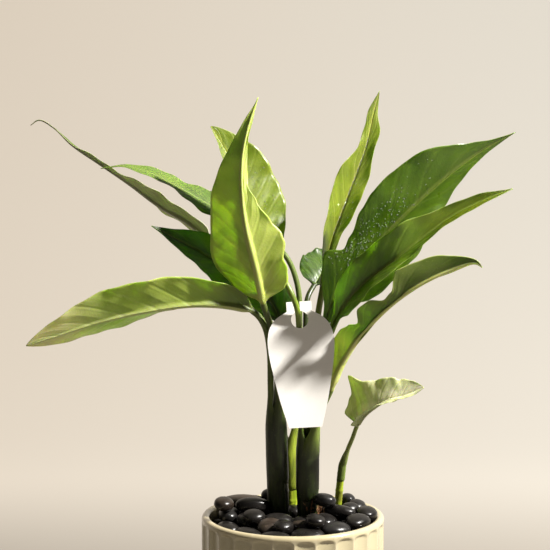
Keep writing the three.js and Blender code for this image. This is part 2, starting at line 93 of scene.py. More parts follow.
def smoothstep(x, low, high):
    """0 below low, 1 above high, smooth between."""
    x = np.clip((x - low) / (high - low), 0, 1)
    return x * x * (3 - 2 * x)


def unit(v):
    return v / np.linalg.norm(v)


def ball(subdivisions):
    work = bmesh.new()
    bmesh.ops.create_icosphere(work, subdivisions=subdivisions, radius=1.0)
    points = np.array([v.co[:] for v in work.verts])
    faces = [tuple(v.index for v in f.verts) for f in work.faces]
    work.free()
    return points, faces


class Curve:
    """The centripetal Catmull-Rom curve through the CAD part's points, measured along its length."""

    def __init__(self, points, steps=40):
        p = np.asarray(points, float)
        p = np.vstack([2 * p[0] - p[1], p, 2 * p[-1] - p[-2]])
        out = []
        for k in range(1, len(p) - 2):
            dt = [max(np.sum((p[k + i] - p[k + i - 1]) ** 2) ** 0.25, 1e-4) for i in range(3)]
            x0, x1, x2, x3 = p[k - 1 : k + 3]
            t1 = ((x1 - x0) / dt[0] - (x2 - x0) / (dt[0] + dt[1]) + (x2 - x1) / dt[1]) * dt[1]
            t2 = ((x2 - x1) / dt[1] - (x3 - x1) / (dt[1] + dt[2]) + (x3 - x2) / dt[2]) * dt[1]
            for i in range(steps):
                t = i / steps
                c2 = -3 * x1 + 3 * x2 - 2 * t1 - t2
                c3 = 2 * x1 - 2 * x2 + t1 + t2
                out.append(x1 + t1 * t + c2 * t * t + c3 * t**3)
        out.append(p[-2])
        self.points = np.array(out)
        self.at = np.concatenate([[0], np.cumsum(np.linalg.norm(np.diff(self.points, axis=0), axis=1))])
        self.steps = steps

    def length(self):
        return self.at[-1]

    def knot(self, k):
        """Length along the curve at its k-th given point."""
        return self.at[k * self.steps]

    def point(self, s):
        return np.array([np.interp(s, self.at, self.points[:, i]) for i in range(3)])

    def tangent(self, s):
        e = 0.004 * self.length()
        return unit(self.point(min(s + e, self.length())) - self.point(max(s - e, 0)))


# ---------------------------------------------------------------- materials


class Nodes:
    """A short way to build a material's node tree."""

    def __init__(self, name):
        self.material = bpy.data.materials.new(name)
        self.material.use_nodes = True
        self.tree = self.material.node_tree
        self.shader = self.tree.nodes["Principled BSDF"]

    def add(self, kind, **settings):
        node = self.tree.nodes.new(kind)
        for key, value in settings.items():
            if key in node.inputs.keys():
                node.inputs[key].default_value = value
            else:
                setattr(node, key, value)
        return node

    def link(self, out, socket):
        self.tree.links.new(out, socket)

    def value(self, x, socket):
        if isinstance(x, bpy.types.NodeSocket):
            self.link(x, socket)
        else:
            socket.default_value = x

    def math(self, operation, a, b=0.0, c=0.0, clamp=False):
        node = self.add("ShaderNodeMath", operation=operation, use_clamp=clamp)
        for i, x in enumerate((a, b, c)):
            self.value(x, node.inputs[i])
        return node.outputs[0]

    def mix(self, factor, a, b, blend="MIX"):
        node = self.add("ShaderNodeMix", data_type="RGBA", blend_type=blend)
        self.value(factor, node.inputs[0])
        self.value((*a, 1) if isinstance(a, tuple) else a, node.inputs[6])
        self.value((*b, 1) if isinstance(b, tuple) else b, node.inputs[7])
        return node.outputs[2]

    def over(self, below, colour, mask, strength):
        """The colour below, covered by another one where the mask is 1, as far as strength says."""
        return self.mix(self.math("MULTIPLY", mask, strength), below, colour)

    def noise(self, scale, detail=4.0, roughness=0.5, vector=None, distortion=0.0):
        node = self.add("ShaderNodeTexNoise")
        node.inputs["Scale"].default_value = scale
        node.inputs["Detail"].default_value = detail
        node.inputs["Roughness"].default_value = roughness
        node.inputs["Distortion"].default_value = distortion
        if vector is None:
            vector = self.add("ShaderNodeTexCoord").outputs["Object"]
        self.link(vector, node.inputs["Vector"])
        return node.outputs["Fac"]

    def band(self, x, low, high):
        """0 below low, 1 above high, smooth between. low may be above high."""
        node = self.add("ShaderNodeMapRange", interpolation_type="SMOOTHSTEP")
        self.value(x, node.inputs["Value"])
        node.inputs["From Min"].default_value = low
        node.inputs["From Max"].default_value = high
        return node.outputs[0]

    def surface_uv(self):
        split = self.add("ShaderNodeSeparateXYZ")
        self.link(self.add("ShaderNodeUVMap", uv_map="Surface").outputs[0], split.inputs[0])
        return split.outputs[0], split.outputs[1]

    def bump(self, height, distance, strength=1.0, normal=None):
        node = self.add("ShaderNodeBump")
        node.inputs["Strength"].default_value = strength
        node.inputs["Distance"].default_value = distance
        self.link(height, node.inputs["Height"])
        if normal is not None:
            self.link(normal, node.inputs["Normal"])
        return node.outputs[0]

    def finish(self, colour, roughness, normal=None, **inputs):
        self.value((*colour, 1) if isinstance(colour, tuple) else colour, self.shader.inputs["Base Color"])
        self.value(roughness, self.shader.inputs["Roughness"])
        if normal is not None:
            self.link(normal, self.shader.inputs["Normal"])
        for key, value in inputs.items():
            self.shader.inputs[key].default_value = value
        return self.material


VEINS = 7.0  # side veins on each half of a blade
VEIN_REACH = 0.19  # how far towards the tip a side vein runs on its way to the margin
VEIN_TONE = 0.16  # how far a side vein takes on the midrib's colour


def leaf_material(name, light, dark, rib, patch, rough, stem, patches, bump, tint_and_shade_bands, soft):
    """One face of a leaf. light and dark vary over the blade, rib is the midrib, patch the pale mottling.

    stem holds the colours of the stalk and of the sheath below it. tint_and_shade_bands are colours laid on
    the blade between two shares of its length, some of them painted shade, and soft is the weight of the
    light that shines through.
    """
    n = Nodes(name)
    stalk, sheath = stem
    u, v = n.surface_uv()
    across = n.math("ABSOLUTE", n.math("MULTIPLY_ADD", u, 2.0, -1.0))
    # side veins: lines of constant v - reach * across
    vein_phase = n.math("SUBTRACT", v, n.math("MULTIPLY", n.math("POWER", across, 0.9), VEIN_REACH))
    wobble = n.math("MULTIPLY_ADD", n.noise(30.0, 2.0), 0.02, -0.01)
    vein_wave = n.math("MULTIPLY", n.math("ADD", vein_phase, wobble), VEINS * math.pi)
    vein = n.math("POWER", n.math("ABSOLUTE", n.math("COSINE", vein_wave)), 26.0)
    fine_wave = n.math("MULTIPLY", n.math("ADD", vein_phase, wobble), VEINS * 5 * math.pi)
    fine = n.math("POWER", n.math("ABSOLUTE", n.math("COSINE", fine_wave)), 3.0)
    colour = n.mix(n.band(n.noise(16.0, 3.0, 0.55), 0.35, 0.68), dark, light)
    colour = n.over(colour, light, n.band(n.noise(160.0, 5.0, 0.6), 0.35, 0.75), 0.25)
    # pale clouds that spread from the midrib
    cloud = n.math("SUBTRACT", n.noise(28.0, 4.0, 0.55, distortion=0.6), n.math("MULTIPLY", across, 0.2))
    cloud = n.band(cloud, 0.4, 0.6)
    colour = n.over(colour, patch, cloud, patches)
    # painted shade: soft darker blotches that stand in for the shade between the blade's swellings
    painted_shade = n.band(n.noise(27.0, 4.0, 0.55, distortion=0.9), 0.48, 0.7)
    colour = n.over(colour, tuple(0.55 * c for c in dark), painted_shade, 0.5)
    colour = n.over(colour, rib, vein, VEIN_TONE)
    colour = n.over(colour, dark, fine, 0.03)
    # bands along the blade's length, the darker ones painted shade
    for tint, low, high, strength in tint_and_shade_bands:
        colour = n.over(colour, tint, n.band(v, low, high), strength)
    # painted highlight: the margins take on the midrib's paler colour, as edges that catch the light
    edge = n.band(across, 0.965, 0.995)
    colour = n.over(colour, rib, edge, 0.45)
    ribbed = n.band(n.math("MULTIPLY", across, n.band(v, 1.25, -0.1)), 0.042, 0.016)
    colour = n.over(colour, rib, ribbed, 0.85)
    on_stalk = n.band(v, 0.02, -0.01)
    streak = n.noise(4.0, 4.0, 0.6, vector=stretched(n, 60.0))
    stalk_colour = n.mix(n.band(streak, 0.35, 0.7), tuple(0.72 * c for c in stalk), stalk)
    wrapped = n.mix(n.band(streak, 0.35, 0.7), tuple(0.6 * c for c in sheath), tuple(1.5 * c for c in sheath))
    stalk_colour = n.mix(n.band(v, -0.2, -0.31), stalk_colour, wrapped)
    colour = n.mix(on_stalk, colour, stalk_colour)
    speck = n.band(n.noise(900.0, 2.0), 0.66, 0.76)
    colour = n.over(colour, patch, speck, 0.18)
    roughness = n.math("MULTIPLY_ADD", n.noise(55.0, 4.0), 0.22, rough - 0.11)
    relief = n.math("ADD", n.math("MULTIPLY", vein, -0.5), n.math("MULTIPLY", fine, -0.06))
    relief = n.math("MULTIPLY", relief, n.math("SUBTRACT", 1.0, on_stalk))
    grain = n.math("MULTIPLY_ADD", n.noise(420.0, 3.0, 0.6), 0.35, relief)
    normal = n.bump(grain, 0.0004 * bump, 0.8)
    n.shader.inputs["Subsurface Radius"].default_value = (0.7, 1.0, 0.2)
    n.shader.inputs["Subsurface Scale"].default_value = 0.0016
    gloss = {"Specular IOR Level": 0.4, "Coat Weight": 0.08, "Coat Roughness": 0.25}
    return n.finish(colour, roughness, normal, **gloss, **{"Subsurface Weight": soft})


def stretched(n, along):
    """Object coordinates squeezed in Z, so that noise runs in streaks up a stem."""
    scale = n.add("ShaderNodeMapping")
    scale.inputs["Scale"].default_value = (along, along, along * 0.06)
    n.link(n.add("ShaderNodeTexCoord").outputs["Object"], scale.inputs["Vector"])
    return scale.outputs[0]


def shoot_material(name, dark, light, scar):
    n = Nodes(name)
    streak = n.noise(4.0, 5.0, 0.6, vector=stretched(n, 60.0))
    colour = n.mix(n.band(streak, 0.38, 0.66), dark, light)
    colour = n.over(colour, scar, n.band(n.noise(60.0, 5.0), 0.6, 0.72), 0.6)
    fleck = n.band(n.noise(500.0, 2.0), 0.66, 0.75)
    colour = n.over(colour, tuple(1.6 * c for c in light), fleck, 0.3)
    normal = n.bump(n.math("ADD", streak, n.math("MULTIPLY", n.noise(350.0, 3.0), 0.3)), 0.0005, 0.7)
    return n.finish(colour, n.math("MULTIPLY_ADD", n.noise(80.0), 0.2, 0.32), normal)


def glaze_material():
    n = Nodes("celadon_glaze")
    u, v = n.surface_uv()
    # u counts flutes, so its fraction says where a point lies across one
    across = n.math("ABSOLUTE", n.math("MULTIPLY_ADD", n.math("FRACT", u), 2.0, -1.0))
    # lighter on the ridges between flutes, darker in the hollows: partly thinner glaze on the ridges, partly
    # painted shade in the hollows
    ridge = n.band(across, 0.72, 1.0)
    pooled_and_shaded = (0.41, 0.36, 0.22)
    thin = (0.5, 0.44, 0.3)
    colour = n.mix(n.band(n.noise(9.0, 3.0), 0.3, 0.7), pooled_and_shaded, (0.46, 0.405, 0.26))
    colour = n.over(colour, thin, ridge, 0.55)
    streak = n.noise(3.0, 4.0, 0.6, vector=stretched(n, 22.0))
    colour = n.over(colour, thin, n.band(streak, 0.45, 0.75), 0.35)
    fleck = n.band(n.noise(620.0, 2.0), 0.69, 0.74)
    colour = n.over(colour, (0.28, 0.2, 0.1), fleck, 0.5)
    lip = n.band(v, 0.955, 0.985)
    colour = n.over(colour, (0.52, 0.425, 0.26), lip, 0.35)
    normal = n.bump(n.noise(48.0, 3.0), 0.0012, 0.35)
    roughness = n.math("MULTIPLY_ADD", n.noise(30.0), 0.14, 0.13)
    return n.finish(colour, roughness, normal, **{"Coat Weight": 0.6, "Coat Roughness": 0.06})


def pebble_material(name, base, dust, dusty):
    n = Nodes(name)
    colour = n.mix(n.band(n.noise(60.0, 5.0, 0.6), 0.35, 0.7), base, tuple(2.2 * c for c in base))
    split = n.add("ShaderNodeSeparateXYZ")
    n.link(n.add("ShaderNodeNewGeometry").outputs["Normal"], split.inputs[0])
    film = n.math("MULTIPLY", n.band(split.outputs[2], 0.35, 1.0), n.band(n.noise(90.0, 6.0, 0.65), 0.3, 0.7))
    colour = n.over(colour, dust, film, dusty)
    pit = n.band(n.noise(420.0, 3.0, 0.5), 0.64, 0.7)
    colour = n.over(colour, tuple(1.5 * c for c in dust), pit, 0.5)
    roughness = n.math("MULTIPLY_ADD", n.noise(70.0, 4.0), 0.22, 0.16)
    roughness = n.math("MULTIPLY_ADD", film, 0.2, roughness)
    normal = n.bump(n.math("MULTIPLY_ADD", n.noise(700.0, 3.0), 0.25, n.noise(70.0, 3.0)), 0.0006, 0.5)
    return n.finish(colour, roughness, normal, **{"Specular IOR Level": 0.3})


def soil_material():
    n = Nodes("potting_mix")
    colour = n.mix(n.band(n.noise(250.0, 6.0, 0.7), 0.35, 0.65), (0.012, 0.007, 0.004), (0.065, 0.038, 0.02))
    bark = n.band(n.noise(120.0, 2.0), 0.62, 0.68)
    colour = n.over(colour, (0.16, 0.09, 0.045), bark, 0.6)
    normal = n.bump(n.noise(300.0, 6.0, 0.7), 0.002, 1.0)
    return n.finish(colour, 0.92, normal)


def card_material():
    n = Nodes("white_card")
    fibre = n.noise(1400.0, 5.0, 0.7)
    colour = n.mix(n.band(fibre, 0.3, 0.75), (0.86, 0.83, 0.785), (0.9, 0.875, 0.835))
    return n.finish(colour, 0.72, n.bump(n.noise(2200.0, 4.0, 0.7), 0.00015, 0.5))


def dry_material():
    n = Nodes("dry_sheath")
    streak = n.noise(5.0, 5.0, 0.6, vector=stretched(n, 120.0))
    colour = n.mix(n.band(streak, 0.35, 0.65), (0.13, 0.045, 0.018), (0.36, 0.19, 0.085))
    return n.finish(colour, 0.7, n.bump(streak, 0.0006, 1.0))


# ---------------------------------------------------------------- the plant, as the CAD part has it

SHOOTS = {
    "shoot_left": dict(
        path=[[-11, 12, -11], [-12, 4, 20], [-13, -4, 48], [-13.5, -7.5, 70]], radius=[8.6, 8.2]
    ),
    "shoot_centre": dict(path=[[12, 4, -11], [12, -1, 10], [12, -4, 30], [12, -5, 48]], radius=[8.6, 8.8]),
    "shoot_back": dict(path=[[-1, 40, -12], [-1, 36, 15], [-2, 33, 42]], radius=[5, 6.4]),
    "shoot_small": dict(path=[[37, 20, -12], [39, 15, 16], [41, 11, 38]], radius=[3.6, 3]),
}

DARK_SHEATH, YOUNG_SHEATH = (0.016, 0.026, 0.004), (0.28, 0.34, 0.03)

# face: directions that the upper side looks in, at the foot and the tip. left and right: fold and curl of
# each half in degrees, from foot to tip. trims: (share of the length, share of the width) of each margin.
LEAF_DEFAULTS = dict(
    widest=0.36, tip=1.15, left=([20, 15], [-10, 0]), right=([20, 15], [-10, 0]), stalk_radius=2.3,
    wave=1.6, waves=3.0, sheath=30.0, span=100.0, sheath_colour=DARK_SHEATH, left_trim=[(0, 1)],
    right_trim=[(0, 1)],
)

LEAVES = {
    "leaf_front_left": dict(
        on="shoot_left", foot=[-17.2, -8], stalk=[[-18, -12, 106], [-19, -15, 138], [-23, -18, 157]],
        blade=[
            [-31, -20.5, 168], [-46, -24, 173], [-76, -34, 176], [-113, -43, 172], [-150, -49, 164],
            [-182, -54, 154], [-207, -58, 146],
        ],
        width=26, widest=0.48, tip=0.85, face=[[0, 1, 0.2], [0, 0.8, 0.6]], left=([0, 0], [-20, 10]),
        right=([78, 15], [10, 0]), stalk_radius=2.5, sheath=70, span=125,
        left_trim=[(0, 1.1), (0.1, 1.1), (0.25, 0.97), (0.4, 1)], looks="pale_under",
    ),
    "leaf_front_centre": dict(
        on="shoot_left", foot=[-11, -11], stalk=[[-12, -15, 106], [-13.5, -19, 138], [-18, -21, 157]],
        blade=[
            [-24, -28, 176], [-30, -37, 206], [-37, -40, 236], [-40, -39, 262], [-40, -34, 290],
            [-35, -26, 317], [-28, -20, 339],
        ],
        width=29, widest=0.3, tip=1.7, face=[[0.2, 1, 0.3], [0.3, 1, 0.1]], left=([22, 30], [-15, 0]),
        right=([22, 15], [-15, -10]), stalk_radius=2.5, sheath=45,
        left_trim=[
            (0, 1.4), (0.08, 1.1), (0.14, 0.95), (0.2, 0.8), (0.26, 0.88), (0.3, 0.85), (0.39, 0.66),
            (0.49, 0.42), (0.57, 0.2), (0.8, 0.25), (0.92, 0.6),
        ],
        right_trim=[
            (0, 1.1), (0.1, 1.12), (0.23, 1.2), (0.4, 1.12), (0.6, 1.25), (0.8, 1.3), (0.93, 1.5),
        ],
        looks="under",
    ),
    "leaf_low_left": dict(
        on="shoot_left", foot=[-12.5, -2.8], stalk=[[-13, 0, 102], [-12, 5, 135]],
        blade=[
            [-11, 9, 156], [-16, 13, 171], [-31, 16, 187], [-56, 14, 204], [-80, 10, 218], [-100, 4, 229],
            [-115, 0, 237],
        ],
        width=23, face=[[0.2, -0.9, 0.3], [0, -0.7, 0.7]], looks="deep",
    ),
    "leaf_behind_centre": dict(
        on="shoot_centre", foot=[7, -6],
        stalk=[
            [7, -13, 104], [5.5, -18.5, 140], [4.4, -24, 158.5], [3, -29.3, 171.5], [-3, -30, 187],
        ],
        blade=[
            [-13, -20, 203], [-22, -8, 222], [-31, 2, 245], [-40, 8, 266], [-52, 11, 292], [-67, 12, 318],
        ],
        width=28, widest=0.58, tip=0.8, face=[[0.5, -0.8, 0.4], [0.3, -0.9, 0.2]],
        left=([10, 65], [0, 0]), right=([10, 10], [0, 0]), left_trim=[(0, 1), (0.7, 0.9), (0.9, 0.8)],
        right_trim=[(0, 1), (0.3, 1.08), (0.7, 1), (0.9, 0.85)], looks="young",
    ),
    "leaf_tall": dict(
        on="shoot_centre", foot=[10.5, 1], stalk=[[15, 3, 102], [19, 6, 143], [21, 5, 166]],
        blade=[
            [24, 3, 184], [31, 1, 222], [42, 0, 254], [51, 0, 278], [59, 0, 301], [65, 2, 327],
            [70, 4, 346],
        ],
        width=17, widest=0.5, face=[[0.6, -0.8, 0], [0.1, -0.95, 0.1]], left=([40, 5], [20, 0]),
        right=([30, 5], [20, 0]), stalk_radius=2.6,
        left_trim=[
            (0, 1.5), (0.25, 1.5), (0.43, 1.2), (0.58, 1.12), (0.72, 0.52), (0.82, 0.5), (0.92, 0.9),
        ],
        right_trim=[
            (0, 0.5), (0.25, 0.42), (0.43, 0.5), (0.58, 0.62), (0.72, 0.47), (0.82, 0.8), (0.9, 0.55),
        ],
        looks="youngest",
    ),
    "leaf_right": dict(
        on="shoot_centre", foot=[16.2, -0.5], stalk=[[20, -8, 104]],
        blade=[
            [24, -15, 145], [29, -20, 171], [41, -22, 195], [61, -24, 218], [84, -24, 242],
            [116, -20, 271], [149, -15, 296], [178, -10, 312],
        ],
        width=39, widest=0.49, tip=1.4, face=[[-0.3, -0.9, 0.3], [-0.1, -0.9, 0.4]],
        left=([12, 60], [-10, 0]), right=([-10, -40], [0, 0]), wave=2.2, waves=4,
        left_trim=[
            (0, 0.3), (0.1, 0.35), (0.215, 0.75), (0.256, 0.85), (0.302, 0.48), (0.346, 0.55),
            (0.433, 0.68), (0.494, 0.76), (0.581, 0.88), (0.677, 0.98), (0.738, 0.98), (0.791, 0.88),
            (0.843, 0.8), (0.913, 0.6),
        ],
        right_trim=[
            (0, 0.3), (0.1, 0.4), (0.215, 1), (0.433, 0.75), (0.634, 0.48), (0.738, 0.36), (0.913, 0.3),
        ],
        looks="glossy",
    ),
    "leaf_front_right": dict(
        on="shoot_centre", foot=[17.2, -6.5], stalk=[[22, -15, 104]],
        blade=[
            [27, -19, 142], [37, -26, 169], [54, -41, 192], [78, -51, 212], [102, -50, 231],
            [126, -46, 248], [150, -40, 259], [172, -33, 267],
        ],
        width=25, widest=0.5, tip=1.2, face=[[-0.2, -0.9, 0.3], [-0.1, -0.9, 0.4]],
        left=([5, 50], [0, 0]), right=([52, 50], [-10, 0]), wave=2, waves=3.5,
        left_trim=[
            (0, 0.3), (0.12, 0.4), (0.196, 0.8), (0.408, 0.8), (0.577, 0.72), (0.679, 0.54),
            (0.788, 0.44), (0.915, 0.6),
        ],
        right_trim=[
            (0, 0.3), (0.12, 0.5), (0.196, 1), (0.256, 1), (0.365, 0.7), (0.492, 0.45), (0.662, 0.4),
            (0.831, 0.6), (0.958, 1),
        ],
        looks="turning",
    ),
    "leaf_low_right": dict(
        on="shoot_centre", foot=[12.5, -10.8], stalk=[[20, -19, 82]],
        blade=[
            [30, -25, 106], [38, -28, 126], [49, -34, 146], [62, -43, 163], [79, -52, 180],
            [99, -57, 194], [120, -60, 204], [138, -64, 210], [144, -65, 207],
        ],
        width=18, widest=0.45, face=[[0, 1, 0.2], [0.2, 0.9, 0.4]], left=([60, 50], [0, 0]),
        right=([12, 10], [0, 0]), wave=6, waves=1.5, stalk_radius=2.2, sheath=36,
        left_trim=[(0, 1), (0.08, 0.6), (0.2, 0.2), (0.5, 0.15), (0.62, 0.3), (0.8, 0.4)],
        right_trim=[
            (0, 1), (0.1, 1.1), (0.2, 1), (0.26, 0.9), (0.31, 0.7), (0.35, 0.45), (0.41, 0.85),
            (0.47, 0.8), (0.53, 0.42), (0.57, 0.5), (0.64, 1.2), (0.72, 1.2), (0.84, 1.5), (0.93, 1.6),
        ],
        looks="low",
    ),
    "leaf_far_left": dict(
        on="shoot_back", foot=[-5.6, 34.2],
        stalk=[[-9, 40, 89], [-17, 47, 131], [-26, 53, 172], [-45, 60, 204]],
        blade=[
            [-69, 64, 220], [-88, 66, 237], [-114, 68, 252.5], [-140, 70, 271.5], [-166, 72, 289],
            [-190, 74, 305], [-206, 75, 320], [-219, 75, 326.5], [-226.5, 75, 322],
        ],
        width=21, widest=0.3, tip=1.3, face=[[-0.2, 0.6, 0.8], [-0.2, 0, 1]],
        left_trim=[(0, 0.6), (0.15, 0.5), (0.45, 0.45), (0.58, 0.22), (0.8, 0.3), (1, 0.6)],
        right_trim=[(0, 0.6), (0.15, 0.5), (0.45, 0.45), (0.58, 0.22), (0.8, 0.3), (1, 0.6)],
        sheath_colour=YOUNG_SHEATH, looks="grey_under",
    ),
    "leaf_upper_left": dict(
        on="shoot_back", foot=[0.2, 29.6], stalk=[[4, 28, 96], [6, 29, 158], [4, 32, 187]],
        blade=[
            [-6, 36, 211], [-34, 38, 233], [-67, 36, 252.5], [-94, 32, 268], [-118, 28, 280],
            [-139, 25, 286], [-159, 23, 284],
        ],
        width=22, face=[[0.1, -0.6, 0.8], [-0.1, -0.3, 0.9]], left=([15, 5], [-10, 0]),
        right=([5, 0], [0, 0]), left_trim=[(0, 0.75), (1, 0.75)],
        right_trim=[(0, 0.7), (0.5, 0.8), (1, 0.8)], sheath_colour=YOUNG_SHEATH, looks="shaded",
    ),
    "leaf_back": dict(
        on="shoot_back", foot=[1, 36.2], stalk=[[8, 37, 99], [11, 43, 140], [13, 51, 173]],
        blade=[[19, 62, 184], [29, 82, 198], [39, 102, 206], [46, 120, 208]], width=20,
        face=[[0, -0.7, 0.7], [0, -0.6, 0.8]], sheath_colour=YOUNG_SHEATH, looks="deep",
    ),
    "leaf_small": dict(
        on="shoot_small", foot=[41, 11], stalk=[[45, 4, 52], [49, -3, 64]],
        blade=[
            [52, -8, 74], [57, -12, 83], [64.5, -18, 91], [75, -22, 98], [89.5, -25, 102.5],
            [104, -28, 109],
        ],
        width=16, widest=0.24, tip=0.9, face=[[-0.3, -0.6, 0.8], [0, -0.8, 0.6]],
        left=([40, 10], [20, 0]), right=([65, 20], [0, 0]), stalk_radius=1.8, sheath=14,
        left_trim=[
            (0, 0.9), (0.1, 0.95), (0.2, 1.1), (0.3, 1.85), (0.42, 1.35), (0.55, 1.3), (0.7, 1.45),
            (0.85, 2), (0.95, 2.4),
        ],
        right_trim=[(0, 0.9), (0.2, 0.7), (0.6, 0.6), (0.9, 0.7)], looks="silver",
        sheath_colour=(0.1, 0.14, 0.02),
    ),
}

PLAIN_TOP = ((0.12, 0.19, 0.015), (0.065, 0.125, 0.007), (0.22, 0.29, 0.05), (0.16, 0.24, 0.03))
# upper side: light, dark, midrib, mottling; under side: the same; then the stalk
LOOKS = {
    "shaded": (
        ((0.085, 0.14, 0.01), (0.045, 0.082, 0.005), (0.15, 0.2, 0.035), (0.11, 0.16, 0.018)),
        ((0.14, 0.2, 0.03), (0.09, 0.14, 0.018), (0.22, 0.27, 0.07), (0.18, 0.23, 0.045)),
        (0.12, 0.17, 0.02),
    ),
    "turning": (
        ((0.11, 0.17, 0.01), (0.062, 0.105, 0.005), (0.18, 0.24, 0.032), (0.14, 0.2, 0.02)),
        ((0.17, 0.23, 0.04), (0.11, 0.165, 0.022), (0.26, 0.31, 0.09), (0.2, 0.26, 0.06)),
        (0.17, 0.24, 0.025),
    ),
    "glossy": (
        ((0.062, 0.105, 0.005), (0.032, 0.064, 0.0025), (0.135, 0.185, 0.022), (0.095, 0.14, 0.012)),
        ((0.15, 0.21, 0.035), (0.1, 0.15, 0.02), (0.24, 0.3, 0.08), (0.18, 0.24, 0.05)),
        (0.17, 0.24, 0.025),
    ),
    "young": (
        ((0.18, 0.215, 0.016), (0.11, 0.15, 0.009), (0.27, 0.3, 0.05), (0.235, 0.265, 0.035)),
        ((0.24, 0.3, 0.045), (0.17, 0.23, 0.03), (0.35, 0.4, 0.1), (0.28, 0.34, 0.07)),
        (0.19, 0.26, 0.03),
    ),
    "youngest": (
        ((0.2, 0.245, 0.018), (0.125, 0.165, 0.009), (0.34, 0.36, 0.08), (0.28, 0.32, 0.05)),
        ((0.22, 0.27, 0.035), (0.155, 0.2, 0.02), (0.34, 0.38, 0.11), (0.28, 0.32, 0.07)),
        (0.17, 0.21, 0.02),
    ),
    "under": (
        PLAIN_TOP,
        # pale under side, painted paler still: painted light in place of a fill lamp
        ((0.4, 0.46, 0.1), (0.3, 0.36, 0.065), (0.42, 0.47, 0.13), (0.45, 0.5, 0.14)),
        (0.08, 0.11, 0.015),
    ),
    "low": (
        PLAIN_TOP,
        # under side painted far paler than the leaf's own colour: painted light on a lobe that lies in shadow
        ((0.54, 0.57, 0.17), (0.42, 0.46, 0.11), (0.6, 0.63, 0.22), (0.58, 0.6, 0.2)),
        (0.14, 0.19, 0.025),
    ),
    "pale_under": (
        ((0.12, 0.19, 0.02), (0.07, 0.13, 0.01), (0.23, 0.31, 0.06), (0.17, 0.26, 0.04)),
        ((0.32, 0.385, 0.07), (0.235, 0.29, 0.045), (0.42, 0.47, 0.17), (0.43, 0.47, 0.17)),
        (0.12, 0.16, 0.03),
    ),
    "grey_under": (
        ((0.12, 0.17, 0.025), (0.07, 0.11, 0.012), (0.2, 0.25, 0.05), (0.16, 0.2, 0.035)),
        ((0.42, 0.41, 0.27), (0.29, 0.3, 0.17), (0.46, 0.45, 0.32), (0.48, 0.46, 0.36)),
        (0.14, 0.19, 0.025),
    ),
    # deep green, darkened further: painted shade on leaves that lie in shadow
    "deep": (
        ((0.042, 0.08, 0.006), (0.018, 0.042, 0.003), (0.1, 0.15, 0.022), (0.065, 0.11, 0.012)),
        ((0.085, 0.13, 0.02), (0.05, 0.09, 0.01), (0.16, 0.21, 0.05), (0.12, 0.165, 0.035)),
        (0.03, 0.045, 0.005),
    ),
    # silver marbling, painted paler still: painted light on a small leaf that lies in shade
    "silver": (
        ((0.68, 0.66, 0.43), (0.38, 0.42, 0.16), (0.62, 0.62, 0.38), (0.8, 0.76, 0.58)),
        ((0.36, 0.4, 0.16), (0.27, 0.32, 0.1), (0.44, 0.47, 0.24), (0.4, 0.43, 0.23)),
        (0.24, 0.28, 0.08),
    ),
}

# a colour laid on a blade between two shares of its length, and how strongly. The darker bands of low,
# pale_under and youngest are painted shade.
TINT_AND_SHADE_BANDS = {
    "turning": [((0.085, 0.105, 0.002), 0.55, 0.68, 0.8)],
    # painted shade over the blade past a third of its length, where its lobes lie in shadow
    "low": [((0.06, 0.08, 0.01), 0.22, 0.34, 0.88)],
    # painted shade at the foot of the blade, then a paler tip
    "pale_under": [((0.05, 0.07, 0.01), 0.32, 0.05, 0.8), ((0.75, 0.71, 0.4), 0.6, 0.92, 0.75)],
    # painted shade at the foot of the blade
    "youngest": [((0.05, 0.07, 0.006), 0.42, 0.12, 0.85)],
}


def leaf_materials(looks, sheath):
    top, under, stalk = LOOKS[looks]
    shine = {"glossy": 0.32, "silver": 0.62, "pale_under": 0.5, "shaded": 0.75}.get(looks, 0.4)
    patches = {"silver": 0.85, "glossy": 0.4, "youngest": 0.6}.get(looks, 0.5)
    tint_and_shade_bands = TINT_AND_SHADE_BANDS.get(looks, [])
    soft = {"grey_under": 0.15, "silver": 0.35}.get(looks, 0.75)
    stem = (stalk, sheath)
    above = leaf_material(f"leaf_top_{looks}", *top, shine, stem, patches, 1.0, tint_and_shade_bands, soft)
    below = leaf_material(f"leaf_under_{looks}", *under, 0.5, stem, patches * 0.6, 1.3, tint_and_shade_bands, soft)
    return [above, below]


def shoot_curve(shoot):
    """A shoot's axis, with a straight piece below its foot. Its heights are given from the pot's rim."""
    foot = np.array(shoot["path"][0], float)
    return Curve([[foot[0], foot[1], foot[2] - 24 + RIM]] + [[x, y, z + RIM] for x, y, z in shoot["path"]])


def shoot_axis(curve, z):
    """The point of a shoot's axis at a height, and its tangent there."""
    s = np.interp(z, curve.points[:, 2], curve.at)
    return curve.point(s), curve.tangent(s)


def eased(x, marks):
    """A value that eases from each (x, value) mark to the next."""
    at, value = zip(*marks)
    if x <= at[0]:
        return value[0]
    for k in range(1, len(at)):
        if x < at[k]:
            share = (x - at[k - 1]) / (at[k] - at[k - 1])
            return value[k - 1] + (value[k] - value[k - 1]) * share * share * (3 - 2 * share)
    return value[-1]


def lance(along, widest, tip):
    """A lance-shaped leaf's width as a share of its widest, at a share of its length."""
    rise = widest * tip / (1 - widest)
    return (along / widest) ** rise * ((1 - along) / (1 - widest)) ** tip


def turned(v, axis, angle):
    along = axis * np.dot(axis, v) * (1 - math.cos(angle))
    return v * math.cos(angle) + np.cross(axis, v) * math.sin(angle) + along


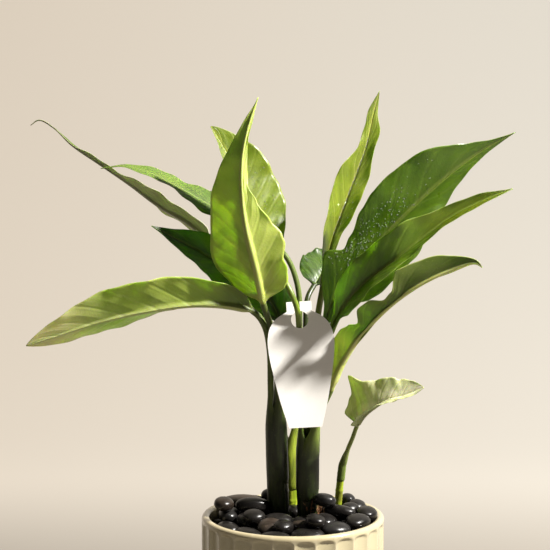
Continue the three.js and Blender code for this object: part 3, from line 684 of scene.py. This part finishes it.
def frame_at(leaf, tangent, blade, blend, inward):
    """Directions across and out of a leaf's upper side.

    On the stalk they turn from the shoot's to the blade's as blend goes from 0 to 1.
    """
    face = np.array(leaf["face"][0], float) * (1 - blade) + np.array(leaf["face"][1], float) * blade
    lift = unit(face - tangent * np.dot(face, tangent))
    if blend < 1:
        start = unit(inward - tangent * np.dot(inward, tangent))
        angle = math.atan2(np.dot(tangent, np.cross(start, lift)), np.dot(start, lift))
        lift = turned(start, tangent, angle * blend)
    return np.cross(tangent, lift), lift


HALF = 17  # columns on each half of a blade
QUILT_HEIGHT = 0.95  # how far a blade swells between its side veins
SHEATH_RINGS, STALK_RINGS, BLADE_RINGS = 22, 44, 120
columns = np.linspace(-1, 1, 2 * HALF + 1)
ACROSS = np.sign(columns) * np.abs(columns) ** 1.3


def half_section(share, width, fold, curl):
    """One half of a blade's section: an arc that starts at the angle fold and turns by curl, in degrees."""
    start, turn = np.radians(fold), np.radians(curl) * share
    flat = np.abs(turn) < 1e-3
    safe = np.where(flat, 1.0, turn)
    radius = width * share / safe
    out = np.where(flat, width * share * np.cos(start), radius * (np.sin(start + safe) - np.sin(start)))
    rise = np.where(flat, width * share * np.sin(start), radius * (np.cos(start) - np.cos(start + safe)))
    return out, rise


def blade_section(leaf, along, seed):
    """Upper and lower side of a blade at one place, as (across, up) in millimetres."""
    t = ACROSS
    share = np.abs(t)
    full = lance(max(along, 1e-6), leaf["widest"], leaf["tip"]) if along < 1 else 0.0
    width = leaf["stalk_radius"] * (1 - along) + leaf["width"] * full + 0.15
    rib = leaf["stalk_radius"] * (1 - along) ** 0.8
    sides = {}
    for key in ("left", "right"):
        cut = eased(along, leaf[key + "_trim"])
        fold, curl = leaf[key]
        f = fold[0] * (1 - along) + fold[1] * along
        c = curl[0] * (1 - along) + curl[1] * along
        sides[key] = half_section(share, 0.15 + (width - 0.15) * cut, f, c) + (f, c)
    out = np.where(t < 0, sides["left"][0], sides["right"][0])
    rise = np.where(t < 0, sides["left"][1], sides["right"][1])
    tilt = {key: sides[key][2] + sides[key][3] * share for key in sides}
    slope = np.radians(np.where(t < 0, tilt["left"], tilt["right"])) * np.sign(t)
    phase = 2 * np.pi * (leaf["waves"] * along + np.where(t < 0, 0.3, 0.0))
    size = min(1.0, width / 20)
    ripple = leaf["wave"] * np.sin(phase) * math.sin(math.pi * along) * share**2
    quick = 0.8 * size * np.sin(2.7 * phase + 2.1 * seed + 1.3 * (t < 0))
    quick = quick * math.sin(math.pi * along) ** 0.5 * share**3
    vein = (along - VEIN_REACH * share**0.9) * VEINS
    quilt = np.abs(np.sin(np.pi * (vein + 0.5))) ** 0.7 - 0.6
    quilt = QUILT_HEIGHT * size * quilt * np.sin(np.pi * np.clip(share, 0, 1)) ** 0.8
    quilt = quilt * smoothstep(along, 0.0, 0.15) * (1 - along) ** 0.3
    swell = 0.9 * size * math.sin(7 * along + seed) * np.sin(math.pi * share * 1.2 + seed) * share
    x = np.sign(t) * out
    y = rise + ripple + quick + quilt + swell
    d = share * width
    groove = 0.45 * rib * np.exp(-((d / (0.8 * rib + 0.3)) ** 2))
    keel = 1.15 * rib * np.sqrt(np.clip(1 - (d / (1.0 * rib + 0.35)) ** 2, 0, 1))
    thick = 0.28 + 0.35 * np.exp(-d / 3.0) + keel
    top = np.stack([x, y - groove], 1)
    low = np.stack([x + thick * np.sin(slope), y - thick * np.cos(slope)], 1)
    return top, low


def make_leaf(name, spec, seed):
    leaf = {**LEAF_DEFAULTS, **spec}
    shoot = SHOOTS[leaf["on"]]
    stem = shoot_curve(shoot)
    top_z = shoot["path"][-1][2] + RIM
    foot = [*leaf["foot"], top_z + 0.3]
    lift_all = lambda p: [p[0], p[1], p[2] + RIM]
    curve = Curve([foot] + [lift_all(p) for p in leaf["stalk"]] + [lift_all(p) for p in leaf["blade"]])
    start = curve.knot(len(leaf["stalk"]) + 1)
    axis_top, _ = shoot_axis(stem, top_z)
    away = np.array([foot[0] - axis_top[0], foot[1] - axis_top[1], 0.0])
    if np.linalg.norm(away) < 0.5:
        away = np.array([0.3, -1.0, 0])
    away = unit(away)
    angle0 = math.atan2(away[1], away[0])
    t = ACROSS
    rings, uv = [], []

    def put(top, low, v):
        rings.append(np.vstack([top, low[::-1]]))
        uv.extend([(0.5 + 0.5 * x, v) for x in t])
        uv.extend([(0.5 + 0.5 * x, v) for x in t[::-1]])

    def round_ring(centre, radius, side, lift):
        a = t * math.pi / 2 * 0.985
        top = centre + np.outer(radius * np.sin(a), side) + np.outer(radius * np.cos(a) * 0.9, lift)
        low = centre + np.outer(radius * np.sin(a), side) - np.outer(radius * np.cos(a), lift)
        return top, low

    def wrap_ring(z, span, proud):
        """A crescent round the shoot: the sheath that the stalk grows from."""
        centre, _ = shoot_axis(stem, min(z, top_z))
        centre = centre + np.array([0, 0, z - min(z, top_z)])
        share = np.clip((z - (top_z - 70)) / 70, 0, 1)
        radius = shoot["radius"][0] * (1 - share) + shoot["radius"][1] * share
        a = angle0 - t * math.radians(span)
        ring = np.stack([np.cos(a), np.sin(a), np.zeros_like(a)], 1)
        thin = 1 - 0.85 * np.abs(t) ** 3
        return centre + ring * (radius - 1.6), centre + ring * (radius + proud * thin)[:, None]

    sheath = leaf["sheath"]
    rise = min(34.0, 0.55 * start)  # the sheath closes into a stalk over this length
    for i in range(SHEATH_RINGS):
        k = i / SHEATH_RINGS
        z = top_z - sheath * (1 - k)
        if z < RIM - 14:
            continue
        grown = smoothstep(np.array(k), 0.0, 0.12)
        top, low = wrap_ring(z, leaf["span"], 0.05 + 0.75 * float(grown))
        put(top, low, -0.5 + 0.2 * k)
    for i in range(STALK_RINGS):
        at = start * i / STALK_RINGS
        centre, tangent = curve.point(at), curve.tangent(at)
        if i == 0:
            tangent = np.array([0, 0, 1.0])
        side, lift = frame_at(leaf, tangent, 0.0, float(smoothstep(np.array(at / start), 0.15, 0.95)), -away)
        top, low = round_ring(centre, leaf["stalk_radius"] * (1.0 + 0.12 * (1 - at / start)), side, lift)
        free = float(smoothstep(np.array(at), 0.0, rise))
        if free < 1:
            wtop, wlow = wrap_ring(top_z + at, leaf["span"] * (1 - 0.55 * free), 0.8)
            shift = (centre - np.array([*leaf["foot"], top_z + at])) * np.array([1, 1, 0])
            top = (wtop + shift) * (1 - free) + top * free
            low = (wlow + shift) * (1 - free) + low * free
        put(top, low, -0.3 + 0.25 * at / start)
    upper = []
    for i in range(BLADE_RINGS + 1):
        along = min((i / BLADE_RINGS) ** 1.1, 0.9995)
        at = start + (curve.length() - start) * along
        centre, tangent = curve.point(at), curve.tangent(at)
        side, lift = frame_at(leaf, tangent, along, 1.0, away)
        top, low = blade_section(leaf, along, seed)
        spread = float(smoothstep(np.array(along), 0.0, 0.06))
        rtop, rlow = round_ring(np.zeros(3), leaf["stalk_radius"], *np.eye(3)[:2])
        top = rtop[:, :2] * (1 - spread) + top * spread
        low = rlow[:, :2] * (1 - spread) + low * spread
        place = lambda xy: centre + np.outer(xy[:, 0], side) + np.outer(xy[:, 1], lift)
        put(place(top), place(low), along)
        upper.append(place(top))
    count = 2 * len(t)
    verts = np.vstack(rings)
    faces = ring_faces(len(rings), count)
    material = [0 if (i % count) < len(t) - 1 else 1 for i in range((len(rings) - 1) * count)]
    material += [1] * (len(faces) - len(material))
    looks = leaf_materials(leaf["looks"], leaf["sheath_colour"])
    piece = make_object(f"{name}_fine", verts, faces, looks, material, uv)
    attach(piece, "root")
    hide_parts(name)
    return np.array(upper)


def make_shoot(name, shoot, materials):
    curve = shoot_curve(shoot)
    rings, sides, steps = [], 48, 60
    for i in range(steps + 1):
        k = i / steps
        centre, tangent = curve.point(k * curve.length()), curve.tangent(k * curve.length())
        if i == steps:
            tangent = np.array([0, 0, 1.0])
        side = unit(np.array([1.0, 0, 0]) - tangent * tangent[0])
        front = np.cross(tangent, side)
        size = shoot["radius"][0] * (1 - k) + shoot["radius"][1] * k
        size *= 1 - 0.35 * smoothstep(np.array(k), 0.93, 1.0)
        node = 0.35 * math.exp(-(((k * 5) % 1) - 0.5) ** 2 / 0.004)
        a = np.linspace(0, 2 * math.pi, sides, endpoint=False)
        radius = size * (1 + 0.02 * np.sin(3 * a + 4 * k)) + node - 0.1
        rings.append(centre + np.outer(radius * np.cos(a), side) + np.outer(radius * np.sin(a), front))
    faces = ring_faces(len(rings), sides)
    piece = make_object(f"{name}_fine", np.vstack(rings), faces, materials)
    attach(piece, "root")
    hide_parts(name)
    return piece


green_stem = shoot_material("sheathed_stem", (0.007, 0.012, 0.002), (0.02, 0.03, 0.004), (0.03, 0.02, 0.008))
light_stem = shoot_material("young_stem", (0.22, 0.3, 0.014), (0.42, 0.5, 0.03), (0.2, 0.17, 0.03))
for shoot_name, shoot in SHOOTS.items():
    make_shoot(shoot_name, shoot, [light_stem if shoot_name in ("shoot_back", "shoot_small") else green_stem])
uppers = {name: make_leaf(name, spec, seed) for seed, (name, spec) in enumerate(LEAVES.items())}


def make_drops(name, upper, areas, water):
    """Water beads on the upper side of a blade.

    An area is (rows, columns, count, radius), with rows and columns as shares of the blade.
    """
    ball_points, ball_faces = ball(2)
    rows, cols = upper.shape[:2]
    verts, faces = [], []
    for (row0, row1), (col0, col1), count, (small, large) in areas:
        for _ in range(count):
            i = int(rng.uniform(row0, row1) * (rows - 3)) + 1
            j = int((0.5 + 0.5 * rng.uniform(col0, col1)) * (cols - 3)) + 1
            along, over = upper[i + 1, j] - upper[i - 1, j], upper[i, j + 1] - upper[i, j - 1]
            up = unit(np.cross(over, along))
            side = unit(over)
            size = rng.uniform(small, large)
            spot = upper[i, j] + (upper[i, j + 1] - upper[i, j]) * rng.random()
            spot = spot + (upper[i + 1, j] - upper[i, j]) * rng.random()
            axes = np.array([side * size, np.cross(up, side) * size * rng.uniform(1, 1.35), up * size * 0.55])
            faces += [tuple(k + len(verts) * len(ball_points) for k in f) for f in ball_faces]
            verts.append(ball_points @ axes + spot)
    piece = make_object(f"{name}_drops", np.vstack(verts), faces, [water])
    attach(piece, "root")


def water_material():
    n = Nodes("water")
    tint = n.mix(n.band(n.noise(300.0, 2.0), 0.3, 0.7), (0.86, 0.92, 0.82), (1.0, 1.0, 1.0))
    return n.finish(tint, 0.04, **{"Transmission Weight": 0.85, "IOR": 1.33, "Specular IOR Level": 0.8})


water = water_material()
make_drops("leaf_right", uppers["leaf_right"], [
    ((0.3, 0.6), (-0.75, -0.15), 170, (0.22, 0.62)),
    ((0.25, 0.75), (-0.9, -0.05), 70, (0.2, 0.5)),
    ((0.28, 0.45), (-0.95, -0.8), 26, (0.4, 0.8)),
], water)
make_drops("leaf_tall", uppers["leaf_tall"], [
    ((0.3, 0.8), (-0.05, 0.05), 90, (0.3, 0.7)),
    ((0.3, 0.7), (-0.8, 0.8), 26, (0.25, 0.55)),
], water)
make_drops("leaf_behind_centre", uppers["leaf_behind_centre"], [
    ((0.1, 0.75), (-0.2, 0.9), 120, (0.22, 0.6)),
], water)

# ---------------------------------------------------------------- pot

POT_RADIUS, POT_WALL, POT_FLOOR = 75.0, 6.8, 9.0
FLUTES, FLUTE_DEPTH = 28, 1.7


def rounded(corner, radius, before, after, steps=7):
    """Points of an arc that rounds a right-angled corner of a profile."""
    corner, before, after = (np.array(p, float) for p in (corner, before, after))
    a, b = unit(before - corner), unit(after - corner)
    centre = corner + (a + b) * radius
    turn = np.linspace(0, math.pi / 2, steps)
    return [centre - b * radius * math.cos(x) - a * radius * math.sin(x) for x in turn]


def make_pot():
    inner = POT_RADIUS - POT_WALL
    outline = [(0.5, 0)] + [(r, 0.0) for r in np.linspace(12, POT_RADIUS - 8, 6)]
    outline += rounded((POT_RADIUS, 0), 3.0, (0, 0), (POT_RADIUS, RIM))
    outline += [(POT_RADIUS, z) for z in np.linspace(6, RIM - 14, 14)]
    outline += [(POT_RADIUS, z) for z in np.linspace(RIM - 12, RIM - 3.4, 12)]
    outline += rounded((POT_RADIUS, RIM), 3.2, (POT_RADIUS, 0), (0, RIM), 9)
    outline += rounded((inner, RIM), 3.2, (POT_RADIUS, RIM), (inner, 0), 9)
    outline += [(inner, z) for z in np.linspace(RIM - 6, POT_FLOOR + 4, 8)]
    outline += [(inner - 4, POT_FLOOR), (0.5, POT_FLOOR)]
    outline = np.array([tuple(p) for p in outline])
    around = FLUTES * 22
    angle = np.linspace(0, 2 * math.pi, around, endpoint=False)
    across = ((angle / (2 * math.pi / FLUTES)) % 1) * 2 - 1
    rings, uv = [], []
    for r, z in outline:
        radius = np.full(around, r)
        if r > inner + 3.3 and z > 0.2:
            # the tops of the flutes are scooped, so they stop lower at the ridges
            scoop = RIM - z - 3.4 - 2.2 * np.abs(across) ** 2.5
            fade = smoothstep(scoop, 0.0, 2.6)
            radius = r - FLUTE_DEPTH * (1 - np.abs(across) ** 2.2) * fade
        rings.append(np.stack([radius * np.cos(angle), radius * np.sin(angle), np.full(around, z)], 1))
        uv += [(a / (2 * math.pi / FLUTES), z / RIM) for a in angle]
    faces = wall_faces(len(rings), around)
    faces.append(tuple(range(around))[::-1])
    faces.append(tuple(range((len(rings) - 1) * around, len(rings) * around)))
    piece = make_object("pot_fine", np.vstack(rings), faces, [glaze_material()], uv=uv)
    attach(piece, "root")
    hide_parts("pot")


make_pot()

# ---------------------------------------------------------------- soil

SOIL_RADIUS = POT_RADIUS - POT_WALL - 0.3


def soil_height(x, y):
    radius = math.hypot(x, y)
    crumbs = 1.3 * noise.fractal(Vector((x, y, 3.0)) * 0.22, 0.6, 2.0, 5)
    return RIM - 9 - 7 * (radius / SOIL_RADIUS) ** 2 + crumbs - 0.6


def make_soil():
    rings, around = [], 220
    radii = np.concatenate([[0.4], np.linspace(1.5, SOIL_RADIUS, 70)])
    angle = np.linspace(0, 2 * math.pi, around, endpoint=False)
    for r in radii:
        circle = [(r * math.cos(a), r * math.sin(a)) for a in angle]
        rings.append([(x, y, soil_height(x, y)) for x, y in circle])
    for r, z in ((SOIL_RADIUS, 60.0), (SOIL_RADIUS, POT_FLOOR + 0.3), (0.4, POT_FLOOR + 0.3)):
        rings.append([(r * math.cos(a), r * math.sin(a), z) for a in angle])
    faces = [(f[0], *f[:0:-1]) for f in wall_faces(len(rings), around)]  # turned to face out
    faces.append(tuple(range(around)))
    faces.append(tuple(range((len(rings) - 1) * around, len(rings) * around))[::-1])
    piece = make_object("soil_fine", np.vstack(rings), faces, [soil_material()])
    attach(piece, "root")
    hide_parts("soil")


make_soil()

# ---------------------------------------------------------------- pebbles

BALL, BALL_FACES = ball(5)
SMALL_BALL, SMALL_FACES = ball(4)


def worn(points, seed, amount=0.05):
    """A unit ball with the slow dents and flats of a water-worn stone."""
    shift = Vector((seed * 3.1, seed * 1.7, seed * 0.9))
    lump = np.array([noise.noise(Vector(p) * 0.9 + shift) for p in points])
    fine = np.array([noise.noise(Vector(p) * 2.6 + shift) for p in points])
    return points * (1 + amount * lump + 0.25 * amount * fine)[:, None]


def flattened(points):
    """The same ball with its first axis, a stone's thinnest, boxed out into two soft flats."""
    out = points.copy()
    out[:, 0] = np.sign(out[:, 0]) * np.abs(out[:, 0]) ** 0.78
    return out


stones = [
    pebble_material("black_pebble", (0.0055, 0.0047, 0.0042), (0.014, 0.0115, 0.009), 0.3),
    pebble_material("brown_pebble", (0.011, 0.008, 0.006), (0.05, 0.036, 0.026), 0.7),
    pebble_material("grey_pebble", (0.0075, 0.007, 0.0068), (0.02, 0.0175, 0.015), 0.4),
]

BROWN_PEBBLES = ("pebble_22", "pebble_23", "pebble_29", "pebble_31")
taken = []  # centre and shape of each stone, so that the small ones keep clear
for index, node in enumerate(sorted(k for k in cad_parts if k.startswith("pebble_"))):
    co = np.array([v.co[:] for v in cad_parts[node].data.vertices]) / MM
    co = np.unique(np.round(co, 4), axis=0)
    centre = co.mean(0)
    spread, axes = np.linalg.eigh(np.cov((co - centre).T))
    reach = np.array([np.abs((co - centre) @ axes[:, k]).max() for k in range(3)])
    if np.linalg.det(axes) < 0:
        axes[:, 0] *= -1
    points = worn(flattened(BALL), index) * reach * 1.015
    seat = points @ axes.T + centre
    brown = node in BROWN_PEBBLES
    stone = stones[1 if brown else (2 if index % 5 == 2 else 0)]
    piece = make_object(f"{node}_fine", seat, BALL_FACES, [stone])
    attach(piece, "root")
    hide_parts(node)
    taken.append((centre, np.linalg.inv(axes * reach**2 @ axes.T)))


def stands_clear(spot, radius, centre, shape):
    """Whether a stone at spot leaves room for the one at centre, whose ellipsoid is given as a matrix."""
    away = math.sqrt(max((spot - centre) @ shape @ (spot - centre), 0))
    return away > 1 + 0.72 * radius / (np.linalg.norm(spot - centre) + 1e-6) * away


def fill_gaps():
    """Small stones in the gaps that the big ones leave, joined into one piece."""
    verts, faces = [], []
    stems = [(shoot_curve(s), max(s["radius"])) for s in SHOOTS.values()]
    for _ in range(2600):
        r, a = SOIL_RADIUS * math.sqrt(rng.random()) * 0.93, rng.random() * 2 * math.pi
        size = np.array([rng.uniform(5.5, 8), rng.uniform(4.5, 6), rng.uniform(3, 4)])
        spot = np.array([r * math.cos(a), r * math.sin(a), 0.0])
        spot[2] = soil_height(spot[0], spot[1]) + size[2] + rng.uniform(-0.5, 2.5)
        if r + size[0] * 0.8 > SOIL_RADIUS:
            continue
        if not all(stands_clear(spot, size[0], c, m) for c, m in taken):
            continue
        near_stem = False
        for stem, radius in stems:
            axis, _ = shoot_axis(stem, spot[2])
            near_stem |= np.linalg.norm((spot - axis)[:2]) < radius + size[0] * 0.7
        if near_stem:
            continue
        turn = rng.random() * math.pi
        tilt = rng.uniform(-0.3, 0.3)
        points = worn(SMALL_BALL, 100 + len(taken)) * size
        ct, st = math.cos(tilt), math.sin(tilt)
        points = points @ np.array([[1, 0, 0], [0, ct, st], [0, -st, ct]])
        cz, sz = math.cos(turn), math.sin(turn)
        points = points @ np.array([[cz, sz, 0], [-sz, cz, 0], [0, 0, 1]])
        faces += [tuple(i + len(verts) * len(SMALL_BALL) for i in f) for f in SMALL_FACES]
        verts.append(points + spot)
        taken.append((spot, np.eye(3) / size[:2].mean() ** 2))
    piece = make_object("pebbles_small", np.vstack(verts), faces, [stones[0]])
    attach(piece, "root")
    print("small pebbles:", len(verts))


fill_gaps()


def make_fibres():
    """Dried shreds of old sheaths at the foot of the middle shoot."""
    verts, faces, dry = [], [], dry_material()
    stem = shoot_curve(SHOOTS["shoot_centre"])
    sides = 6
    for k in range(46):
        turn = math.radians(rng.uniform(-95, 15))
        z = RIM - 8 + rng.uniform(-3, 16)
        axis, _ = shoot_axis(stem, z)
        out = np.array([math.cos(turn), math.sin(turn), 0.0])
        start = axis + out * (SHOOTS["shoot_centre"]["radius"][0] + 0.3)
        length, curl = rng.uniform(6, 17), rng.uniform(-0.35, 0.5)
        thick = rng.uniform(0.18, 0.5)
        bend = rng.uniform(-0.5, 0.5)
        for i in range(9):
            t = i / 8
            lean = 1.6 * math.sin(5 * t + k) * t + curl * length * t * t
            spot = start + np.array([0, 0, length * t * 0.9]) + out * lean
            spot = spot + np.cross([0, 0, 1], out) * bend * length * t * t
            for a in np.arange(sides) * math.tau / sides:
                edge = out * math.cos(a) + np.cross([0, 0, 1], out) * math.sin(a) * 1.8
                verts.append(spot + edge * thick * (1.05 - t))
        base = k * 9 * sides
        faces += [tuple(base + q for q in f) for f in ring_faces(9, sides)]
    piece = make_object("dry_sheath_fibres", np.array(verts), faces, [dry])
    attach(piece, "root")


make_fibres()

# ---------------------------------------------------------------- tag

TAG = dict(
    length=100, width=53, foot=26, neck=20, neck_length=8, neck_top=14.5, hole=6.9, slit=1.2,
    thick=0.55, lean=12, roll=3,
)
TAG_HOLE = np.array([5, -26, 163 + RIM])


def tag_outline():
    half, top = TAG["width"] / 2, TAG["neck_top"]
    low, shoulder = top - TAG["length"], top - TAG["neck_length"]
    share = [
        (0.7, 0.05), (0.86, 0.1), (0.95, 0.155), (1.0, 0.25), (0.985, 0.31), (0.96, 0.37), (0.86, 0.52),
        (0.7, 0.72),
    ]
    flank = [(w * half, shoulder - d * TAG["length"]) for w, d in share]
    flank = smooth_line([(TAG["neck"] / 2 + 0.6, shoulder - 0.2)] + flank + [(TAG["foot"] / 2, low)], 60)
    points = flank[::-1] + [(TAG["neck"] / 2, shoulder), (TAG["neck"] / 2, top), (TAG["slit"] / 2, top)]
    gap = math.asin(TAG["slit"] / 2 / TAG["hole"])
    for a in np.linspace(math.pi / 2 - gap, -1.5 * math.pi + gap, 49):
        points.append((TAG["hole"] * math.cos(a), TAG["hole"] * math.sin(a)))
    points += [(-TAG["slit"] / 2, top), (-TAG["neck"] / 2, top), (-TAG["neck"] / 2, shoulder)]
    return points + [(-x, y) for x, y in flank]


def smooth_line(points, count):
    curve = Curve([(x, y, 0) for x, y in points], 12)
    return [tuple(curve.point(s)[:2]) for s in np.linspace(0, curve.length(), count)]


def make_tag():
    work = bmesh.new()
    ring = [work.verts.new((x, y, 0)) for x, y in tag_outline()]
    work.faces.new(ring).normal_update()
    bmesh.ops.triangulate(work, faces=work.faces[:])
    # cut the card across, so that it can bend
    for step in np.linspace(-82, 10, 24):
        geometry = work.verts[:] + work.edges[:] + work.faces[:]
        bmesh.ops.bisect_plane(work, geom=geometry, plane_co=(0, step, 0), plane_no=(0, 1, 0))
    for step in np.linspace(-24, 24, 13):
        geometry = work.verts[:] + work.edges[:] + work.faces[:]
        bmesh.ops.bisect_plane(work, geom=geometry, plane_co=(step, 0, 0), plane_no=(1, 0, 0))
    bmesh.ops.recalc_face_normals(work, faces=work.faces[:])
    if work.faces[0].normal.z < 0:
        bmesh.ops.reverse_faces(work, faces=work.faces[:])
    solid = bmesh.ops.extrude_face_region(work, geom=work.faces[:])
    new = [g for g in solid["geom"] if isinstance(g, bmesh.types.BMVert)]
    bmesh.ops.translate(work, verts=new, vec=(0, 0, TAG["thick"]))
    bmesh.ops.recalc_face_normals(work, faces=work.faces[:])
    roll, lean = math.radians(TAG["roll"]), math.radians(90 - TAG["lean"])
    for v in work.verts:
        x, y, z = v.co
        z += 0.00099 * x * x - 0.00022 * (y + 40) ** 2 + 0.35
        if x < -TAG["slit"] / 2 + 0.01 and y > 2:
            z -= 0.06 * (y - 2)  # the neck's left half is pushed back a little by the stalk
        x, y = x * math.cos(roll) - y * math.sin(roll), x * math.sin(roll) + y * math.cos(roll)
        y, z = y * math.cos(lean) - z * math.sin(lean), y * math.sin(lean) + z * math.cos(lean)
        v.co = ((x + TAG_HOLE[0]) * MM, (y + TAG_HOLE[1]) * MM, (z + TAG_HOLE[2]) * MM)
    mesh = bpy.data.meshes.new("tag_fine")
    work.to_mesh(mesh)
    work.free()
    mesh.materials.append(card_material())
    piece = bpy.data.objects.new("tag_fine", mesh)
    bpy.context.scene.collection.objects.link(piece)
    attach(piece, "root")
    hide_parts("tag")


make_tag()

# ---------------------------------------------------------------- stage, light and camera


def make_stage():
    """A floor that curves up into a backdrop, which glows faintly away from the plant."""
    profile = [(-3.0, 0.0), (0.9, 0.0)]
    profile += [(0.9 + 1.2 * math.sin(a), 1.2 - 1.2 * math.cos(a)) for a in np.linspace(0.1, math.pi / 2, 18)]
    profile += [(2.1, 5.0)]
    verts, faces = [], []
    for y, z in profile:
        verts += [(-5, y, z - 0.0004), (5, y, z - 0.0004)]
    for i in range(len(profile) - 1):
        faces.append((2 * i, 2 * i + 1, 2 * i + 3, 2 * i + 2))
    n = Nodes("backdrop")
    split = n.add("ShaderNodeSeparateXYZ")
    n.link(n.add("ShaderNodeTexCoord").outputs["Object"], split.inputs[0])
    side = n.band(split.outputs[0], -0.9, 0.9)
    colour = n.mix(n.noise(0.8, 2.0), (0.185, 0.165, 0.14), (0.195, 0.175, 0.15))
    glow = n.mix(side, (0.46, 0.4, 0.325), (0.39, 0.385, 0.35))
    far = n.band(split.outputs[1], 0.1, 0.75)
    glow = n.mix(far, (0.0, 0.0, 0.0), glow)
    n.link(glow, n.shader.inputs["Emission Color"])
    n.finish(colour, 0.9, **{"Emission Strength": 1.0})
    piece = make_object("backdrop", np.array(verts) / MM, faces, [n.material])


make_stage()


def area_light(name, place, aim, size, watts, colour):
    data = bpy.data.lights.new(name, "AREA")
    data.shape = "DISK"
    data.size = size
    data.energy = watts
    data.color = colour
    light = bpy.data.objects.new(name, data)
    light.location = place
    light.rotation_euler = (Vector(aim) - Vector(place)).to_track_quat("-Z", "Y").to_euler()
    bpy.context.scene.collection.objects.link(light)


KEY_PLACE, KEY_AIM = (1.695, -0.454, 1.937), (0, 0, 0.3)
CAMERA_PLACE, CAMERA_TILT = (-0.01466, -1.05522, 0.39505), 3.697  # metres, and degrees below level
ROOM_COLOUR, ROOM_STRENGTH = (1.0, 0.95, 0.87, 1), 0.1

area_light("key", KEY_PLACE, KEY_AIM, 0.2, 220, (1.0, 0.97, 0.92))
world = bpy.data.worlds.new("room")
world.use_nodes = True
world.node_tree.nodes["Background"].inputs[0].default_value = ROOM_COLOUR
world.node_tree.nodes["Background"].inputs[1].default_value = ROOM_STRENGTH
bpy.context.scene.world = world
bpy.context.scene.view_settings.view_transform = "Standard"

camera_data = bpy.data.cameras.new("camera")
camera_data.lens = 85
camera_data.sensor_width = 36
camera = bpy.data.objects.new("camera", camera_data)
camera.location = CAMERA_PLACE
camera.rotation_euler = (math.radians(90 - CAMERA_TILT), 0, 0)
bpy.context.scene.collection.objects.link(camera)
bpy.context.scene.camera = camera
